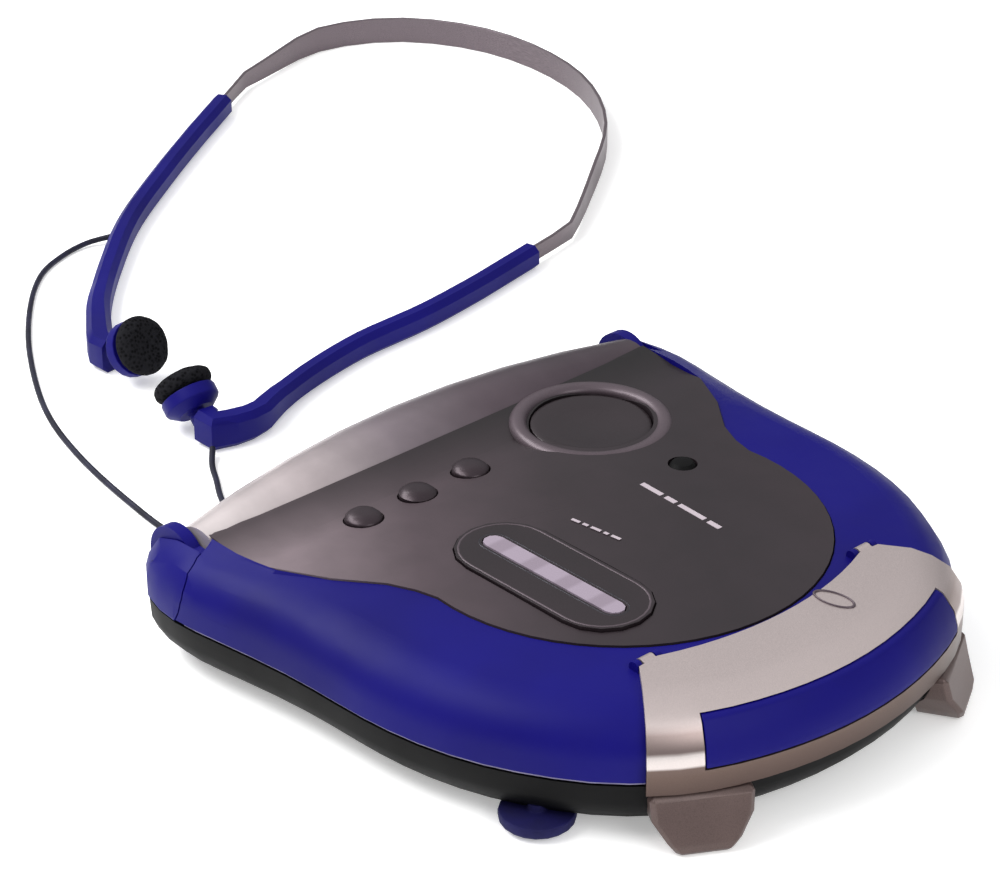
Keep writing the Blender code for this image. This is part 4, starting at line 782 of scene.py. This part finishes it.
def addPadCollar():
    # a low rounded ring round the rocking pad, half sunk in the panel
    piece = shaped("torus", "pad_collar", major_segments=96, minor_segments=20,
                   major_radius=padCollar["reach"] * mm, minor_radius=padCollar["section"] * mm,
                   location=(padCollar["centre"][0] * mm, padCollar["centre"][1] * mm,
                             padCollar["height"] * mm))
    for spot in piece.data.vertices:
        spot.co.z = padCollar["height"] * mm + (spot.co.z - padCollar["height"] * mm) * padCollar["squash"]
    return settle(smoothed(piece, 60), "lid", looks["ring"])


bezelRim = {"centre": (5.5, -23.5), "length": 51.0, "width": 22.0, "height": 27.15,
            "lips": ((0.9, 0.8), (4.2, 0.64))}  # each lip's inset and section


def raceway(length, width, height, centre, count=12):
    radius = width / 2
    straight = length / 2 - radius
    points = []
    for turn, middle in ((-90, straight), (90, -straight)):
        for k in range(count + 1):
            angle = radians(turn + 180 * k / count)
            x, y = centre[0] + middle + radius * cos(angle), centre[1] + radius * sin(angle)
            points.append(Vector((x, y, height)) * mm)
    return points + [points[0]]


def addBezelRim():
    # two fine raised lips round the display's surround
    lips = []
    for inset, section in bezelRim["lips"]:
        loop = raceway(bezelRim["length"] - 2 * inset, bezelRim["width"] - 2 * inset, bezelRim["height"],
                       bezelRim["centre"])
        lips.append(tubeAlong("bezel_lip", evenPath(loop, 0.8 * mm), section * mm / 2, 3, False))
    piece = joined("bezel_lips", lips)
    return settle(smoothed(piece, 60), "lid", looks["ring"])


windowRim = {"centre": (5.5, -23.5), "length": 42.6, "width": 6.6, "height": 27.25, "section": 0.5}


def addWindowRim():
    loop = raceway(windowRim["length"], windowRim["width"], windowRim["height"], windowRim["centre"])
    piece = tubeAlong("window_lip", evenPath(loop, 0.6 * mm), windowRim["section"] * mm / 2, 3, False)
    return settle(smoothed(piece, 60), "lid", looks["glint"])


printedMarks = {  # rows of plain dashes: start, end, dash lengths, all in mm
    "upper": {"start": (-9.3, 17.2), "end": (15.6, 15.9), "dashes": (6.5, 3.2, 8.0, 3.6), "wide": 1.3},
    "lower": {"start": (-8.4, -4.8), "end": (4.8, -3.2), "dashes": (2.2, 1.4, 2.6, 1.2, 2.4), "wide": 0.8},
}


printInk = {"thick": 0.12, "proud": 0.02}
panelForm = {  # mm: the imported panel's low dome, and the trough along the barrel's foot
    "rim": 26.5, "dome": 0.9, "radius": 46.5, "troughMiddle": -46, "troughHalf": 12, "troughDepth": 1.6,
}


def panelTop(x, y):
    dome = panelForm["dome"] * max(0.0, 1 - (x * x + y * y) / panelForm["radius"] ** 2)
    across = min(1.0, abs(x - panelForm["troughMiddle"]) / panelForm["troughHalf"])
    return panelForm["rim"] + dome - panelForm["troughDepth"] / 2 * (1 + cos(pi * across))


def addPrintedMarks():
    # silver ink standing a hair above the lacquer
    dashes = []
    for facts in printedMarks.values():
        start, end = Vector(facts["start"]), Vector(facts["end"])
        way = (end - start).normalized()
        spare = ((end - start).length - sum(facts["dashes"])) / (len(facts["dashes"]) - 1)
        along = 0.0
        for length in facts["dashes"]:
            middle = start + way * (along + length / 2)
            turn = Vector((way.x, way.y, 0)).to_track_quat("X", "Z")
            place = Vector((middle.x, middle.y, panelTop(middle.x, middle.y) + printInk["proud"])) * mm
            dashes.append(shaped("cube", "dash", turn, size=1, location=place,
                                 scale=(length * mm, facts["wide"] * mm, printInk["thick"] * mm)))
            along += length + spare
    piece = joined("printed_marks", dashes)
    return settle(smoothed(piece), "lid", looks["print"])


claspEmblem = {"place": (52.0, 12.0), "across": 9.0, "section": 0.35, "squash": 0.5}


def addClaspEmblem():
    # a plain raised oval pressed into the top of the clasp, with no lettering
    host = finished["clasp_frame"]
    x, y = claspEmblem["place"]
    hit, spot, normal, _ = host.ray_cast(Vector((x, y, 60)) * mm, Vector((0, 0, -1)))
    if not hit:
        return
    piece = shaped("torus", "clasp_emblem", major_segments=64, minor_segments=12,
                   major_radius=claspEmblem["across"] / 2 * mm,
                   minor_radius=claspEmblem["section"] * mm)
    for point in piece.data.vertices:
        point.co.x *= claspEmblem["squash"]
    piece.rotation_mode = "QUATERNION"
    piece.rotation_quaternion = normal.to_track_quat("Z", "Y")
    piece.location = spot
    only(piece)
    bpy.ops.object.transform_apply(location=True, rotation=True, scale=True)
    settle(smoothed(piece, 60), "clasp", looks["ring"])


coilTie = {"turn": 200, "section": 0.5, "across": 4.3, "high": 3.0, "flatBelow": 2.7, "middle": -0.75,
           "strands": (-0.9, 0.0, 0.9)}


def addCoilTie():
    # a twist tie drawn round the coil's turns
    cx, cy = cordFacts["coilCentre"]
    reach = (cordFacts["coilInner"] + cordFacts["coilOuter"]) / 2
    angle = radians(coilTie["turn"])
    middle = Vector((cx + reach * cos(angle), cy + reach * sin(angle), coilTie["middle"])) * mm
    loop = []
    for k in range(33):
        turn = radians(360 * k / 32)
        across, up = cos(turn) * coilTie["across"], max(sin(turn) * coilTie["high"], -coilTie["flatBelow"])
        loop.append(middle + Vector((cos(angle) * across, sin(angle) * across, up)) * mm)
    strands = []
    for shift in coilTie["strands"]:
        offset = Vector((-sin(angle) * shift, cos(angle) * shift, 0)) * mm
        strands.append(tubeAlong("tie_strand", [point + offset for point in loop],
                                 coilTie["section"] * mm, 3, False))
    settle(joined("coil_tie", strands), "base", looks["cord_jacket"])


addClaspEmblem()
addCoilTie()
addPadCollar()
addBezelRim()
addWindowRim()
addPrintedMarks()
print("panel trim made")

# underside

undersideScrews = {"places": ((-62, 48), (-62, -48), (20, 52), (20, -52), (58, 0)), "across": 5.2,
                   "high": 0.5, "off": 0.02}


def addUndersideScrews():
    # screws in the underside: a shallow rim round a sunken socket
    heads = []
    level = -undersideScrews["off"] - undersideScrews["high"] / 2
    for x, y in undersideScrews["places"]:
        head = shaped("cylinder", "screw_head", vertices=32, radius=undersideScrews["across"] / 2 * mm,
                      depth=undersideScrews["high"] * mm, location=Vector((x, y, level)) * mm)
        pickFaces(head, lambda middle, normal: normal.z < -0.9)
        bpy.ops.mesh.inset(thickness=0.5 * mm, depth=0.12 * mm)
        bpy.ops.mesh.inset(thickness=0.7 * mm, depth=0)
        bpy.ops.mesh.inset(thickness=0.5 * mm, depth=-0.35 * mm)
        heads.append(smoothed(head, 30))
    piece = joined("underside_screws", heads)
    return settle(piece, "base", looks["glint"])


ratingLabel = {"centre": (6, 0), "across": 31.4, "thick": 0.12, "off": 0.06}


def addRatingLabel():
    # a blank rating label stuck to the underside
    place = Vector((*ratingLabel["centre"], -(ratingLabel["off"] + ratingLabel["thick"] / 2))) * mm
    piece = shaped("cylinder", "rating_label", vertices=96, radius=ratingLabel["across"] / 2 * mm,
                   depth=ratingLabel["thick"] * mm, location=place)
    pickFaces(piece, lambda middle, normal: normal.z < -0.9)
    bpy.ops.mesh.inset(thickness=1.2 * mm, depth=-0.03 * mm)
    return settle(smoothed(piece), "base", looks["label"])


doorGrip = {"rows": 6, "gap": 2.2, "length": 16.0, "section": 0.45, "fromEnd": 6}


def addDoorGrip():
    # thumb ridges at the end of the battery door
    middle, low, high = middleOf("battery_door")
    ridges = []
    for k in range(doorGrip["rows"]):
        y = low.y / mm + doorGrip["fromEnd"] + k * doorGrip["gap"]
        ends = [Vector((middle.x + half * doorGrip["length"] * mm / 2, y * mm, low.z)) for half in (-1, 1)]
        ridges.append(tubeAlong("ridge", evenPath(ends, 2 * mm), doorGrip["section"] * mm, 3))
    piece = joined("door_grip", ridges)
    return settle(smoothed(piece, 60), bodyOf["battery_door"], looks["black_abs"])


addUndersideScrews()
addRatingLabel()
addDoorGrip()
print("underside trim made")

# drive trim

turntableTrim = {"balls": 3, "ballReach": 6.9, "ballDown": 1.2, "ballAcross": 1.5, "hubReach": 12,
                 "matReach": 11.4, "matSection": 0.5}


def addTurntableTrim():
    # the rubber friction ring, and the sprung balls in the hub that click a disc into place
    middle, low, high = middleOf("turntable")
    balls = []
    for k in range(turntableTrim["balls"]):
        angle = radians(120 * k)
        reach = turntableTrim["ballReach"] * mm
        place = (middle.x + reach * cos(angle), middle.y + reach * sin(angle),
                 high.z - turntableTrim["ballDown"] * mm)
        ball = shaped("uv_sphere", "ball", segments=24, ring_count=12,
                      radius=turntableTrim["ballAcross"] / 2 * mm,
                      location=place)
        balls.append(smoothed(ball, 60))
    settle(joined("hub_balls", balls), bodyOf["turntable"], looks["steel"])
    rim = [spot.co.z for spot in nodes["turntable"].data.vertices
           if hypot(spot.co.x - middle.x, spot.co.y - middle.y) > turntableTrim["hubReach"] * mm]
    ring = shaped("torus", "friction_ring", major_segments=72, minor_segments=12,
                  major_radius=turntableTrim["matReach"] * mm,
                  minor_radius=turntableTrim["matSection"] * mm, location=(middle.x, middle.y, max(rim)))
    settle(smoothed(ring, 60), bodyOf["turntable"], looks["rubber"])


lensTrim = {"reach": 3.5, "section": 0.35}


def addLensRing():
    middle, low, high = middleOf("pickup_lens")
    ring = shaped("torus", "lens_ring", major_segments=48, minor_segments=12,
                  major_radius=lensTrim["reach"] * mm,
                  minor_radius=lensTrim["section"] * mm, location=(middle.x, middle.y, high.z - 0.2 * mm))
    settle(smoothed(ring, 60), bodyOf["pickup_lens"], looks["black_abs"])


addTurntableTrim()
addLensRing()
print("drive trim made")
